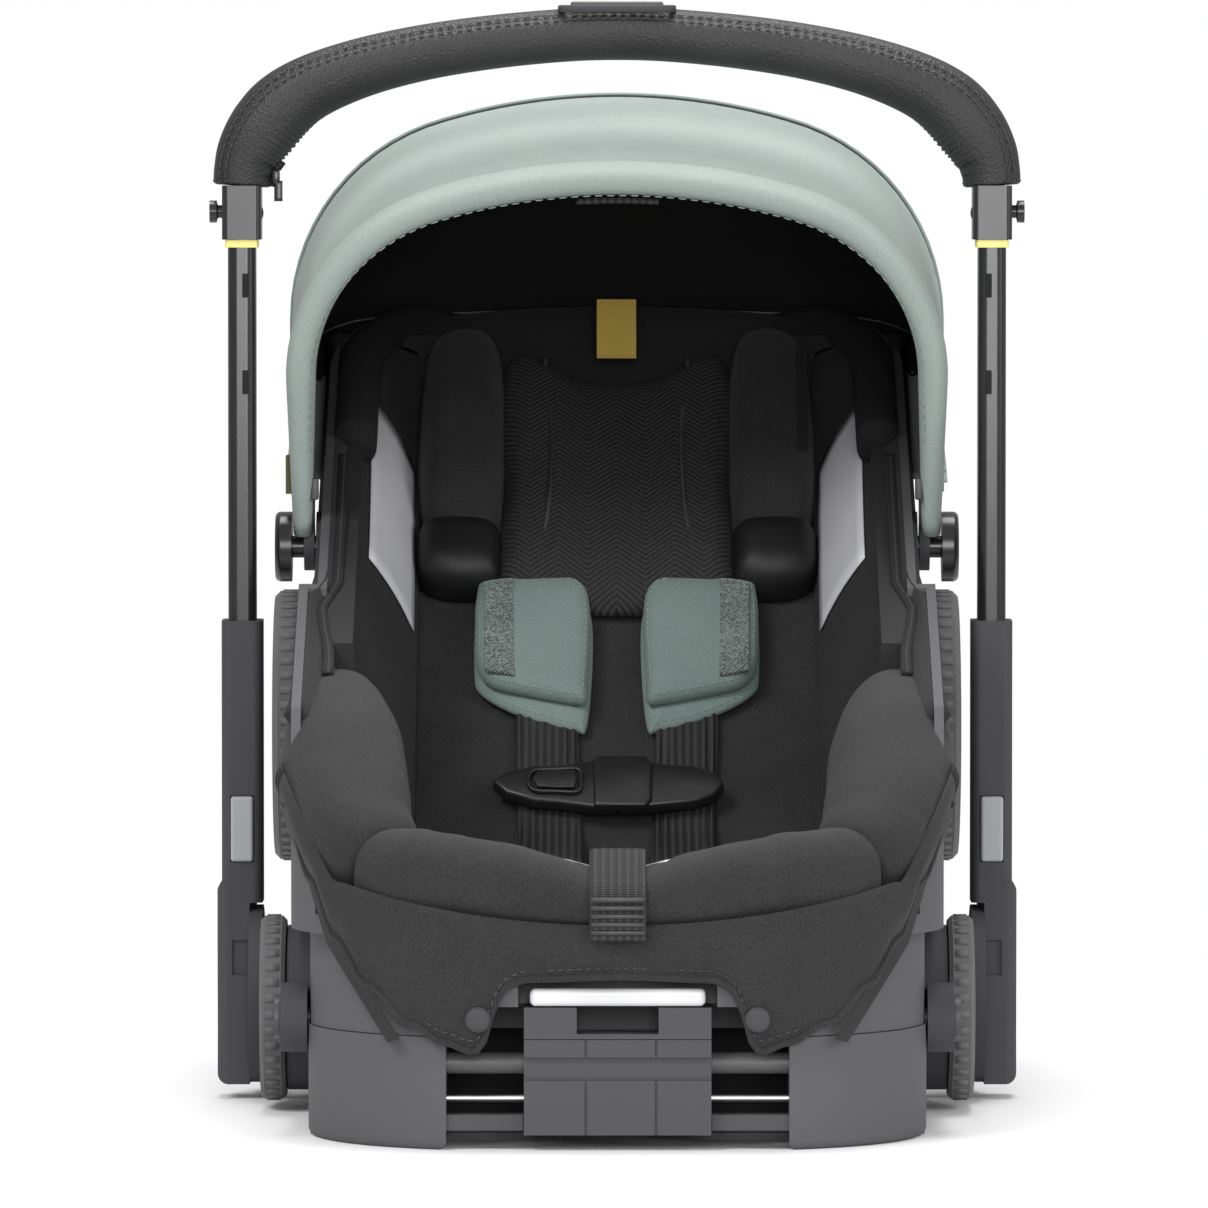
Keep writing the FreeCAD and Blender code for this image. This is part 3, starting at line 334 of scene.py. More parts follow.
GREY_PLASTIC = Finish("grey_tube_plastic", grey(0.05), grey(0.08), GRAIN, FINE_GRAIN, bump=0.1, rough=0.45)
GREY_BUTTON = Finish("grey_button", grey(0.23), grey(0.28, 0.005), GRAIN, FINE_GRAIN, bump=0.06, rough=0.4)
PULL_GRIP = Finish("pale_grip", grey(0.58, 0.01), grey(0.66, 0.01), GRAIN, FINE_GRAIN, bump=0.05, rough=0.35)
LABEL = Finish("bare_label", grey(0.62, 0.03), grey(0.7, 0.03), GRAIN, FINE_GRAIN, bump=0.05, rough=0.5)
YELLOW_RING = Finish("yellow_ring", (0.72, 0.64, 0.12), (0.8, 0.72, 0.2), GRAIN, FINE_GRAIN, bump=0.04, rough=0.35)
TUBE_PAINT = Finish("satin_tube_paint", grey(0.006), grey(0.01), GRAIN, FINE_GRAIN, bump=0.05, rough=0.28, coat=0.25)
STEEL = Finish("brushed_steel", grey(0.5), grey(0.62), GRAIN, (("Cells", 300.0), ("Fine", 900.0), ("Share", 0.2)),
               bump=0.06, rough=0.3, metal=1.0)
TYRE = Finish("grey_tyre", grey(0.085, 0.003), grey(0.12, 0.003), GRAIN, (("Cells", 900.0), ("Fine", 1800.0), ("Share", 0.5)),
              bump=0.25, rough=0.78, wear=0.1)
FOAM = Finish("seat_foam", grey(0.012), grey(0.02), GRAIN, (("Cells", 380.0), ("Fine", 800.0), ("Share", 1.0)),
              bump=0.3, rough=0.9)
RED_BUTTON = Finish("red_button", (0.42, 0.018, 0.016), (0.5, 0.025, 0.02), GRAIN, FINE_GRAIN, bump=0.05, rough=0.35)
OLIVE = Finish("olive_tag", (0.1, 0.1, 0.045), (0.15, 0.145, 0.07), WEAVE, bump=0.3, rough=0.85)


# ------------------------------------------------------------------ mesh helpers

def new_piece(name: str, mesh: bpy.types.Mesh, body: str | None, finish: Finish) -> bpy.types.Object:
    """Link a mesh as a piece that rides on a body.

    Args:
        name: name of the piece.
        mesh: its mesh, in the frame's metres.
        body: CAD body that it rides on, or None for cloth that rides on no body.
        finish: its main finish.

    Returns:
        The new object.
    """
    piece = bpy.data.objects.new(name, mesh)
    bpy.context.scene.collection.objects.link(piece)
    mesh.materials.append(finish.material())
    for polygon in mesh.polygons:
        polygon.use_smooth = True
    if body:
        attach(piece, body)
    LOG.info("%s on %s: %d faces", name, body, len(mesh.polygons))
    return piece


def mesh_from(name: str, points: Sequence[Sequence[float]], faces: Sequence[Sequence[int]]) -> bpy.types.Mesh:
    """Make a mesh with outward normals from points and faces."""
    mesh = bpy.data.meshes.new(name)
    mesh.from_pydata([tuple(p) for p in points], [], [tuple(f) for f in faces])
    shape = bmesh.new()
    shape.from_mesh(mesh)
    bmesh.ops.recalc_face_normals(shape, faces=shape.faces)
    shape.to_mesh(mesh)
    shape.free()
    return mesh


def loft(name: str, rings: Sequence[Sequence[Vector]], closed: bool = True, capped: bool = True) -> bpy.types.Mesh:
    """Skin a row of sections that have the same number of points.

    Args:
        name: name of the mesh.
        rings: the sections, in order.
        closed: whether each section is a closed loop.
        capped: whether the two ends get a cap.

    Returns:
        The mesh.
    """
    count = len(rings[0])
    points = [p for ring in rings for p in ring]
    faces = []
    span = count if closed else count - 1
    for row in range(len(rings) - 1):
        for k in range(span):
            a, b = row * count + k, row * count + (k + 1) % count
            faces.append((a, b, b + count, a + count))
    if capped and closed:
        faces.append(tuple(range(count)))
        faces.append(tuple((len(rings) - 1) * count + k for k in range(count)))
    return mesh_from(name, points, faces)


def smooth_path(points: Sequence[Sequence[float]], steps: int = 8, loop: bool = False) -> list[Vector]:
    """Round curve through a few points, by Catmull-Rom segments."""
    knots = [Vector(p) for p in points]
    count = len(knots)
    result = []
    for k in range(count if loop else count - 1):
        if loop:
            a, b, c, d = (knots[(k + shift) % count] for shift in (-1, 0, 1, 2))
        else:
            a, b, c, d = knots[max(k - 1, 0)], knots[k], knots[k + 1], knots[min(k + 2, count - 1)]
        for step in range(steps):
            u = step / steps
            result.append(0.5 * (2 * b + (c - a) * u + (2 * a - 5 * b + 4 * c - d) * u * u
                                 + (3 * b - a - 3 * c + d) * u ** 3))
    if not loop:
        result.append(knots[-1])
    return result


def tube_rings(path: Sequence[Vector], section: Callable[[float, float], tuple[float, float]], up: Vector,
               count: int = 20, loop: bool = False) -> list[list[Vector]]:
    """Sections along a path.

    Args:
        path: centre line.
        section: function of (share along the path, angle) that gives the two offsets across the path.
        up: direction that the second offset follows, as near as it can.
        count: points of each section.
        loop: whether the path closes on itself.

    Returns:
        The list of sections.
    """
    rings = []
    last = len(path) - 1
    for k, point in enumerate(path):
        before = path[k - 1] if (k or loop) else path[0]
        after = path[(k + 1) % len(path)] if (k < last or loop) else path[last]
        along = (after - before).normalized()
        side = along.cross(up).normalized()
        lift = side.cross(along).normalized()
        ring = []
        for j in range(count):
            a, b = section(k / last, 2 * math.pi * j / count)
            ring.append(point + side * a + lift * b)
        rings.append(ring)
    return rings


def oval(wide: float, tall: float, power: float = 2.0) -> Callable[[float, float], tuple[float, float]]:
    """Constant section between an ellipse (power 2) and a rounded rectangle (higher power)."""
    def at(_share: float, angle: float) -> tuple[float, float]:
        """Offsets of the section at an angle."""
        c, s = math.cos(angle), math.sin(angle)
        return (wide / 2 * math.copysign(abs(c) ** (2 / power), c), tall / 2 * math.copysign(abs(s) ** (2 / power), s))
    return at


@dataclass
class Pillow:
    """A crowned cushion over a flat outline, in a plane of its own."""

    name: str
    outline: Sequence[tuple[float, float]]
    origin: Vector
    right: Vector
    up: Vector
    thick: float
    back_share: float = 0.35
    rings: int = 14
    power: float = 3.0
    shape: Callable[[float, float, float], float] | None = None
    bend: Callable[[float, float], float] | None = None
    steps: int = 6

    def mesh(self) -> bpy.types.Mesh:
        """Build the closed mesh of the cushion."""
        rim = [Vector((p.x, p.y)) for p in smooth_path([(a, b, 0) for a, b in self.outline], self.steps, True)]
        centre = sum(rim, Vector((0, 0))) / len(rim)
        out = self.right.cross(self.up).normalized()
        count = len(rim)
        points: list[Vector] = []

        def place(flat: Vector, high: float) -> Vector:
            """Turn a point of the plane and a height into a point in space."""
            lift = self.bend(flat.x, flat.y) if self.bend else 0.0
            return self.origin + self.right * flat.x + self.up * flat.y + out * (high + lift)

        def crown(share: float, flat: Vector) -> float:
            """Height of the front face at a share of the way to the rim."""
            base = self.thick * (1 - share ** self.power) ** (1 / 2.2)
            return base * (self.shape(flat.x, flat.y, share) if self.shape else 1.0)

        shares = [math.sin(math.pi / 2 * (k + 1) / self.rings) for k in range(self.rings)]
        points.append(place(centre, crown(0.0, centre)))
        for share in shares:
            for p in rim:
                flat = centre + (p - centre) * share
                points.append(place(flat, crown(share, flat)))
        back_start = len(points)
        for share in reversed(shares[:-1]):
            for p in rim:
                flat = centre + (p - centre) * share
                points.append(place(flat, -self.thick * self.back_share * (1 - share ** self.power) ** 0.5))
        points.append(place(centre, -self.thick * self.back_share))
        faces: list[tuple[int, ...]] = [(0, 1 + k, 1 + (k + 1) % count) for k in range(count)]
        rows = [1 + r * count for r in range(self.rings)]
        rows += [back_start + r * count for r in range(self.rings - 1)]
        for a, b in zip(rows, rows[1:]):
            for k in range(count):
                m = (k + 1) % count
                faces.append((a + k, a + m, b + m, b + k))
        end = len(points) - 1
        faces += [(end, rows[-1] + k, rows[-1] + (k + 1) % count) for k in range(count)]
        return mesh_from(self.name, points, faces)


def stitches(name: str, path: Sequence[Vector], body: str, finish: Finish = THREAD, long: float = 0.0042,
             gap: float = 0.0022, thick: float = 0.0011) -> bpy.types.Object:
    """Row of short thread loops along a path on a surface."""
    lengths = [0.0]
    for a, b in zip(path, path[1:]):
        lengths.append(lengths[-1] + (b - a).length)
    total = lengths[-1]

    def at(run: float) -> Vector:
        """Point of the path at a run along it."""
        k = min(max(bisect.bisect_left(lengths, run), 1), len(lengths) - 1)
        step = max(lengths[k] - lengths[k - 1], 1e-9)
        return path[k - 1].lerp(path[k], (run - lengths[k - 1]) / step)

    points: list[Vector] = []
    faces: list[tuple[int, ...]] = []
    for k in range(int(total / (long + gap))):
        start, stop = at(k * (long + gap)), at(k * (long + gap) + long)
        along = (stop - start).normalized()
        side = along.cross(Vector((0.31, -0.8, 0.5))).normalized()
        lift = side.cross(along)
        base = len(points)
        for share, size in ((0.0, 0.35), (0.2, 1.0), (0.8, 1.0), (1.0, 0.35)):
            centre = start.lerp(stop, share)
            points += [centre + (side * math.cos(t) + lift * math.sin(t)) * thick / 2 * size
                       for t in (0.0, math.pi / 2, math.pi, 1.5 * math.pi)]
        for row in range(3):
            for j in range(4):
                a, b = base + row * 4 + j, base + row * 4 + (j + 1) % 4
                faces.append((a, b, b + 4, a + 4))
        faces.append(tuple(base + j for j in range(4)))
        faces.append(tuple(base + 12 + j for j in range(4)))
    return new_piece(name, mesh_from(name, points, faces), body, finish)


def soften(piece: bpy.types.Object, bevel: float, levels: int = 0) -> bpy.types.Object:
    """Round the edges of a piece, with an optional subdivision."""
    made = piece.modifiers.new("round", "BEVEL")
    made.width = bevel
    made.segments = 3
    made.limit_method = "ANGLE"
    if levels:
        sub = piece.modifiers.new("smooth", "SUBSURF")
        sub.levels = sub.render_levels = levels
    return piece


def box_mesh(name: str, low: Sequence[float], high: Sequence[float]) -> bpy.types.Mesh:
    """Plain box between two corners, to be rounded."""
    xs, ys, zs = zip(low, high)
    points = [(x, y, z) for x in xs for y in ys for z in zs]
    faces = [(0, 1, 3, 2), (4, 6, 7, 5), (0, 4, 5, 1), (2, 3, 7, 6), (0, 2, 6, 4), (1, 5, 7, 3)]
    return mesh_from(name, points, faces)


def plate(name: str, outline: Sequence[tuple[float, float]], origin: Vector, right: Vector, up: Vector,
          thick: float) -> bpy.types.Mesh:
    """Flat plate with a polygon outline in a plane, thick along the plane's normal."""
    out = right.cross(up).normalized() * thick
    count = len(outline)
    low = [origin + right * a + up * b for a, b in outline]
    points = low + [p + out for p in low]
    faces = [tuple(range(count)), tuple(range(count, 2 * count))]
    faces += [(k, (k + 1) % count, (k + 1) % count + count, k + count) for k in range(count)]
    return mesh_from(name, points, faces)


def ring_frame(name: str, outline: Sequence[tuple[float, float]], origin: Vector, right: Vector, up: Vector,
               wide: float, tall: float) -> bpy.types.Mesh:
    """Closed raised border that follows a rounded outline in a plane."""
    path = smooth_path([origin + right * a + up * b for a, b in outline], 4, True)
    rings = tube_rings(path, oval(wide, tall, 4.0), right.cross(up).normalized(), 12, True)
    return loft(name, rings + rings[:1], True, False)


def dress(node: str, finish: Finish) -> None:
    """Give a CAD node its finish."""
    mesh = bpy.data.objects[node].data
    mesh.materials.clear()
    mesh.materials.append(finish.material())


# ------------------------------------------------------------------ shared arches

PIVOT = Vector((0.0, 0.060, 0.296))


@dataclass(frozen=True)
class Arch:
    """Arch with a shallow crown, two round shoulders and straight sides, in an upright plane."""

    half: float
    top: float
    big: float
    small: float
    foot: float

    def points(self, count: int = 48) -> list[tuple[float, float]]:
        """Points (x, height) from the left foot to the right foot, evenly spread."""
        crown = self.top - self.big
        shoulder_x = self.half - self.small
        shoulder_z = crown + math.sqrt((self.big - self.small) ** 2 - shoulder_x ** 2)
        lean = math.atan2(shoulder_x, shoulder_z - crown)
        raw: list[tuple[float, float]] = []
        for k in range(12):
            raw.append((self.half, self.foot + (shoulder_z - self.foot) * k / 12))
        for k in range(24):
            turn = math.pi / 2 + (lean - math.pi / 2) * k / 24
            raw.append((shoulder_x + self.small * math.sin(turn), shoulder_z + self.small * math.cos(turn)))
        for k in range(17):
            turn = lean * (1 - k / 16)
            raw.append((self.big * math.sin(turn), crown + self.big * math.cos(turn)))
        full = [(-x, z) for x, z in raw] + [(x, z) for x, z in reversed(raw[:-1])]
        runs = [0.0]
        for (xa, za), (xb, zb) in zip(full, full[1:]):
            runs.append(runs[-1] + math.hypot(xb - xa, zb - za))
        result = []
        seat = 0
        for k in range(count + 1):
            goal = runs[-1] * k / count
            while seat < len(runs) - 2 and runs[seat + 1] < goal:
                seat += 1
            share = (goal - runs[seat]) / max(runs[seat + 1] - runs[seat], 1e-9)
            (xa, za), (xb, zb) = full[seat], full[seat + 1]
            result.append((xa + (xb - xa) * share, za + (zb - za) * share))
        return result


def leaned(x: float, high: float, angle: float, shift: float = 0.0) -> Vector:
    """Point of an arch that leans about the canopy pivot; positive angles lean to the head end."""
    return PIVOT + Vector((x, high * math.sin(angle) + shift * math.cos(angle),
                           high * math.cos(angle) - shift * math.sin(angle)))


@dataclass
class Plan:
    """Rounded outline of the shell seen from above, and the height of its rim."""

    half: float = 0.170
    front: float = -0.300
    back: float = 0.350
    corner: float = 0.105

    def foot_path(self, grow: float, count: int, reach: float = -0.150) -> list[Vector]:
        """Points round the foot end, from the left side to the right side, evenly spread."""
        half, radius = self.half + grow, self.corner + grow
        centre = Vector((self.half - self.corner, self.front + self.corner, 0))
        points = [Vector((-half, reach, 0))]
        for k in range(25):
            turn = math.pi + math.pi / 2 * k / 24
            points.append(Vector((-centre.x + radius * math.cos(turn), centre.y + radius * math.sin(turn), 0)))
        points += [Vector((-p.x, p.y, 0)) for p in reversed(points)]
        return spread(points, count)

    def head_path(self, grow: float, count: int, reach: float, half: float = 0.160) -> list[Vector]:
        """Points round the head end, from the left side to the right side, at the height of the rim."""
        radius = self.corner + grow
        centre = Vector((half - self.corner, self.back - self.corner, 0))
        points = [Vector((-half - grow, reach, 0))]
        for k in range(25):
            turn = math.pi - math.pi / 2 * k / 24
            points.append(Vector((-centre.x + radius * math.cos(turn), centre.y + radius * math.sin(turn), 0)))
        points += [Vector((-p.x, p.y, 0)) for p in reversed(points)]
        return [Vector((p.x, p.y, self.rim(p.y))) for p in spread(points, count)]

    def rim(self, y: float) -> float:
        """Height of the shell's rim at a distance along the seat."""
        if y > 0.310:
            return 0.415 - 0.375 * (y - 0.310)
        return 0.222 + 0.386 * (y + 0.190)


PLAN = Plan()


def spread(points: Sequence[Vector], count: int) -> list[Vector]:
    """The same line, cut into equal steps."""
    runs = [0.0]
    for a, b in zip(points, points[1:]):
        runs.append(runs[-1] + (b - a).length)
    result = []
    seat = 0
    for k in range(count + 1):
        goal = runs[-1] * k / count
        while seat < len(runs) - 2 and runs[seat + 1] < goal:
            seat += 1
        share = (goal - runs[seat]) / max(runs[seat + 1] - runs[seat], 1e-9)
        result.append(points[seat].lerp(points[seat + 1], min(1.0, share)))
    return result


def double_sheet(name: str, rows: Sequence[Sequence[Vector]], inner: Sequence[Sequence[Vector]]) -> tuple[
        bpy.types.Mesh, int]:
    """Closed thin sheet between an outer and an inner grid of points.

    Args:
        name: name of the mesh.
        rows: the outer grid, row by row.
        inner: the inner grid, point for point.

    Returns:
        The mesh, and how many of its first faces are the outer side.
    """
    count = len(rows[0])
    points = [p for row in rows for p in row] + [p for row in inner for p in row]
    shift = len(rows) * count
    faces: list[tuple[int, ...]] = []
    for r in range(len(rows) - 1):
        for k in range(count - 1):
            a = r * count + k
            faces.append((a, a + 1, a + count + 1, a + count))
    cloth = len(faces)
    faces += [tuple(i + shift for i in reversed(f)) for f in faces]
    last = len(rows) - 1
    edge = list(range(count)) + [r * count + count - 1 for r in range(1, last + 1)]
    edge += [last * count + k for k in range(count - 2, -1, -1)] + [r * count for r in range(last - 1, 0, -1)]
    for a, b in zip(edge, edge[1:] + edge[:1]):
        faces.append((a, b, b + shift, a + shift))
    return mesh_from(name, points, faces), cloth


# ------------------------------------------------------------------ canopy

@dataclass
class Canopy:
    """Cloth hood over two bows, with a padded front rim, a dark lining and its pivot housings."""

    half: float = 0.1765
    front_reach: float = 0.2195
    mid_reach: float = 0.2465
    rear_reach: float = 0.3075
    front_lean: float = math.radians(-20)
    mid_lean: float = math.radians(6)
    rear_lean: float = math.radians(66)
    across: int = 64
    thick: float = 0.0022
    foot: float = 0.030

    def arch_at(self, angle: float, inset: float = 0.0) -> list[Vector]:
        """Points of the cloth across the hood at a lean angle."""
        if angle <= self.mid_lean:
            share = (angle - self.front_lean) / (self.mid_lean - self.front_lean)
            low_reach = self.front_reach - 0.0085
            reach = low_reach + (self.mid_reach - low_reach) * share ** 0.85
            big, small = 0.330, 0.112
            sag = 0.0035 * math.sin(math.pi * share)
        else:
            share = (angle - self.mid_lean) / (self.rear_lean - self.mid_lean)
            reach = self.mid_reach + (self.rear_reach - self.mid_reach) * share ** 1.5
            big = 0.330 + 0.57 * share ** 2
            small = 0.112 - 0.06 * share ** 2
            sag = 0.008 * math.sin(math.pi * share)
        foot = self.foot + max(0.0, angle - 0.5) * 0.075
        arch = Arch(self.half - inset, reach - sag - inset, big - inset, small - inset, foot)
        return [leaned(x, z, angle) for x, z in arch.points(self.across)]

    def tail(self, rows: int, inset: float) -> list[list[Vector]]:
        """Rows of cloth from the rear arch down over the outside of the shell's head end."""
        arch = self.arch_at(self.rear_lean, inset)
        foot = PLAN.head_path(0.003 - inset, self.across, 0.132)
        result = []
        for r in range(1, rows + 1):
            share = r / rows
            bulge = 0.010 * math.sin(math.pi * share ** 0.7)
            row = []
            for a, b in zip(arch, foot):
                low = b + Vector((0, 0, -0.016))
                point = a.lerp(low, share)
                out = Vector((point.x, point.y - 0.1, 0)).normalized()
                row.append(point + out * bulge)
            result.append(row)
        return result

    def sheet(self, name: str, start: float, stop: float, rows: int, tail: int = 0) -> bpy.types.Object:
        """One cloth panel between two lean angles, lined in black, with an optional tail."""
        angles = [start + (stop - start) * k / rows for k in range(rows + 1)]
        outer = [self.arch_at(a) for a in angles]
        inner = [self.arch_at(a, self.thick) for a in angles]
        if tail:
            outer += self.tail(tail, 0.0)
            inner += self.tail(tail, self.thick)
        mesh, cloth = double_sheet(name, outer, inner)
        piece = new_piece(name, mesh, None, SAGE)
        mesh.materials.append(BLACK_CLOTH.material())
        for polygon in mesh.polygons[cloth:2 * cloth]:
            polygon.material_index = 1
        return piece

    def rim(self) -> bpy.types.Object:
        """Padded band over the front bow, tapered into the pivots."""
        arch = Arch(self.half - 0.0060, self.front_reach - 0.0045, 0.3225, 0.1045, 0.010)
        path = [leaned(x, z, self.front_lean, -0.004) for x, z in arch.points(96)]
        normal = Vector((0, math.cos(self.front_lean), -math.sin(self.front_lean)))

        def section(share: float, angle: float) -> tuple[float, float]:
            """Fat rounded section that thins towards both pivots."""
            near = min(share, 1 - share) / 0.14
            swell = min(1.0, 0.62 + 0.38 * near)
            a, b = oval(0.0162 * swell, 0.0225 * swell, 2.5)(share, angle)
            return a, b

        mesh = loft("canopy_rim", tube_rings(path, section, normal, 24))
        piece = new_piece("canopy_rim", mesh, "canopy_front", SAGE)
        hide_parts("canopy_front_bow")
        return piece

    def rim_seams(self) -> None:
        """Stitch rows on the rim and the dark loop at the middle of its lower edge."""
        for label, inset, shift in (("inner", 0.0112, -0.0135),):
            arch = Arch(self.half - inset, self.front_reach - inset, 0.330 - inset, 0.112 - inset, 0.06)
            path = [leaned(x, z, self.front_lean, shift) for x, z in arch.points(150)]
            stitches(f"rim_stitch_{label}", path, "canopy_front", SAGE_THREAD, thick=0.0008)
        arch = Arch(self.half - 0.0175, self.front_reach - 0.0175, 0.3125, 0.0945, 0.06)
        loop = [leaned(x, z, self.front_lean, -0.004) for x, z in arch.points(160) if -0.024 < x < 0.024]
        mesh = loft("rim_loop", tube_rings(loop, oval(0.0035, 0.013, 4.0), Vector((0, 1, 0)), 12))
        new_piece("rim_loop", mesh, "canopy_front", WEBBING)

    def seam_beads_and_rim_crease_shade(self) -> None:
        """Raised seam bead behind the rim, coloured darker to paint the shade in the crease where the cloth meets the
        rim; piped seams over the middle bow and along the rear arch.
        """
        # Painted shade: the bead behind the rim takes the darker sage thread colour to stand in for the shadowed crease
        # between rim and cloth.
        arch = Arch(self.half - 0.0015, self.front_reach - 0.0062, 0.3255, 0.1075, 0.030)
        path = [leaned(x, z, self.front_lean, 0.0085) for x, z in arch.points(96)]
        mesh = loft("rim_crease_shade_bead", tube_rings(path, oval(0.0030, 0.0030), Vector((0, 1, 0)), 8))
        new_piece("rim_crease_shade_bead", mesh, "canopy_front", SAGE_THREAD)
        path = self.arch_at(self.mid_lean)
        mesh = loft("canopy_seam", tube_rings(path, oval(0.0026, 0.0034), Vector((0, 1, 0)), 8))
        new_piece("canopy_seam", mesh, "canopy_mid", SAGE_THREAD)
        rear = self.arch_at(self.rear_lean)
        mesh = loft("canopy_hem", tube_rings(rear, oval(0.004, 0.005), Vector((0, 1, 0)), 8))
        new_piece("canopy_hem", mesh, "base", SAGE_THREAD)

    def build(self) -> None:
        """Build the whole hood."""
        front = self.sheet("canopy_cloth_front", self.front_lean, self.mid_lean, 18)
        rear = self.sheet("canopy_cloth_rear", self.mid_lean, self.rear_lean, 34, 6)
        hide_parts("canopy_front_cover")
        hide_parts("canopy_rear_cover")
        self.rim()
        self.rim_seams()
        self.seam_beads_and_rim_crease_shade()
        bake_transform(front)
        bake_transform(rear)
        dress("canopy_mid_bow", HOUSING)
        dress("canopy_housings", GLOSS)
        self.tags()

    def tags(self) -> None:
        """Small olive tag and the two grey lining hooks beside the pivots."""
        for side in SIDES:
            x = side.value * 0.1615
            low = (min(x, x + side.value * 0.004), 0.038, 0.322)
            high = (max(x, x + side.value * 0.004), 0.047, 0.334)
            hook = new_piece(f"lining_hook_{side.name.lower()}", box_mesh("hook", low, high), "base",
                             DARK_PLASTIC)
            soften(hook, 0.001)
        low, high = (-0.1795, 0.046, 0.325), (-0.1765, 0.060, 0.346)
        soften(new_piece("side_tag", box_mesh("tag", low, high), "base", OLIVE), 0.0006)


# ------------------------------------------------------------------ handle

@dataclass(frozen=True)
class Handle:
    """Leather-covered grip with its seams, hems, zip and button, over two sliding tubes."""

    post: float = 0.2015
    back: float = 0.020
    outer: tuple[tuple[float, float, float], ...] = (
        (0.2175, 0.4925, 31), (0.2170, 0.503, 32), (0.2145, 0.5165, 35), (0.2065, 0.5330, 38), (0.1925, 0.5490, 38),
        (0.1720, 0.5610, 35), (0.1420, 0.5710, 32), (0.1070, 0.5785, 30), (0.0690, 0.5838, 29), (0.0300, 0.5872, 28.5),
    )

    @functools.cache
    def centre_line(self) -> tuple[list[Vector], list[float]]:
        """Middle of the sleeve and its thickness, from the left end to the right end."""
        left = [Vector((-x, self.back, z)) for x, z, _ in self.outer]
        right = [Vector((x, self.back, z)) for x, z, _ in reversed(self.outer)]
        sizes = [t / 1000 for _, _, t in self.outer]
        sizes = sizes + list(reversed(sizes))
        skin = smooth_path(left + [Vector((0, self.back, 0.5881))] + right, 7)
        thick = [v.x for v in smooth_path([(t, 0, 0) for t in sizes[:10] + [0.0284] + sizes[10:]], 7)]
        middle = []
        for k, point in enumerate(skin):
            along = skin[min(k + 1, len(skin) - 1)] - skin[max(k - 1, 0)]
            inward = Vector((along.z, 0, -along.x)).normalized()
            middle.append(point + inward * thick[k] / 2)
        return middle, thick

    def surface(self, share: float, angle: float, grow: float = 0.0) -> Vector:
        """Point on the sleeve at a share of its length and an angle round it; 0 faces up, 90 the front."""
        middle, thick = self.centre_line()
        run = share * (len(middle) - 1)
        k = min(int(run), len(middle) - 2)
        point = middle[k].lerp(middle[k + 1], run - k)
        size = thick[k] + (thick[k + 1] - thick[k]) * (run - k)
        along = (middle[k + 1] - middle[k]).normalized()
        out = Vector((-along.z, 0, along.x))
        front = Vector((0, -1, 0))
        return point + out * math.cos(angle) * (size / 2 + grow) + front * math.sin(angle) * (size * 0.47 + grow)

    def sleeve(self) -> None:
        """The leather sleeve with a shallow seam groove and small folds in its bends."""
        middle, thick = self.centre_line()
        seam = math.radians(48)
        rings = []
        last = len(middle) - 1
        for k in range(len(middle) * 2 - 1):
            share = k / (2 * last)
            near = min(share, 1 - share)
            fold = math.exp(-((near - 0.15) / 0.055) ** 2)
            ring = []
            for j in range(40):
                angle = 2 * math.pi * j / 40
                groove = -0.0011 * math.exp(-((angle - seam) / 0.11) ** 2)
                inside = max(0.0, -math.cos(angle))
                ripple = 0.0007 * fold * inside * math.sin(share * 520 + 2.0 * math.sin(angle))
                end = -0.0016 * max(0.0, 1 - near / 0.006)
                ring.append(self.surface(min(share, 0.99999), angle, groove + ripple + end))
            rings.append(ring)
        sleeve = new_piece("grip_sleeve", loft("grip_sleeve", rings), "handle_upper", LEATHER)
        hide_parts("handle_grip")
        for label, angle in (("upper", 0.70), ("lower", 0.98)):
            path = [self.surface(0.02 + 0.96 * k / 200, angle, 0.0002) for k in range(201)]
            stitches(f"grip_stitch_{label}", path, "handle_upper", long=0.0034, gap=0.0018, thick=0.0008)
        for side in SIDES:
            share = 0.013 if side is Side.LEFT else 0.987
            ring = [self.surface(share, 2 * math.pi * k / 60, 0.0002) for k in range(61)]
            stitches(f"grip_hem_{side.name.lower()}", ring, "handle_upper", long=0.003, gap=0.0016,
                     thick=0.0008)

    def zip_end(self) -> None:
        """Closed zip along the inner side of the left end, with its slider and pull."""
        path = [self.surface(0.004 + 0.11 * k / 40, math.radians(170), 0.0006) for k in range(41)]
        tape = loft("grip_zip", tube_rings(path, oval(0.0045, 0.0022, 3), Vector((0, 1, 0)), 10))
        new_piece("grip_zip", tape, "handle_upper", BLACK_CLOTH)
        stitches("grip_zip_teeth", path, "handle_upper", DARK_PLASTIC, long=0.0012, gap=0.0009, thick=0.0032)
        high = self.surface(0.045, math.radians(170), 0.0022)
        slider = box_mesh("zip_slider", high - Vector((0.0022, 0.003, 0.004)), high + Vector((0.0022, 0.003, 0.004)))
        soften(new_piece("zip_slider", slider, "handle_upper", GLOSS), 0.0012)
        path = [high + Vector((0.0015, -0.003, -0.002 - 0.011 * k / 6)) for k in range(7)]
        new_piece("zip_pull", loft("zip_pull", tube_rings(path, oval(0.0045, 0.0016, 3), Vector((0, 1, 0)), 10)),
                  "handle_upper", GLOSS)

    def bezel(self) -> None:
        """Raised border round the top button."""
        half, deep = 0.0285, 0.0098
        outline = [(-half, -deep), (-half / 2, -deep - 0.0008), (half / 2, -deep - 0.0008), (half, -deep),
                   (half + 0.0012, 0.0), (half, deep), (half / 2, deep + 0.0008), (-half / 2, deep + 0.0008),
                   (-half, deep), (-half - 0.0012, 0.0)]
        mesh = ring_frame("button_bezel", outline, Vector((0, self.back, 0.5872)), Vector((1, 0, 0)), Vector((0, 1, 0)),
                          0.0036, 0.0042)
        new_piece("button_bezel", mesh, "handle_upper", HOUSING)

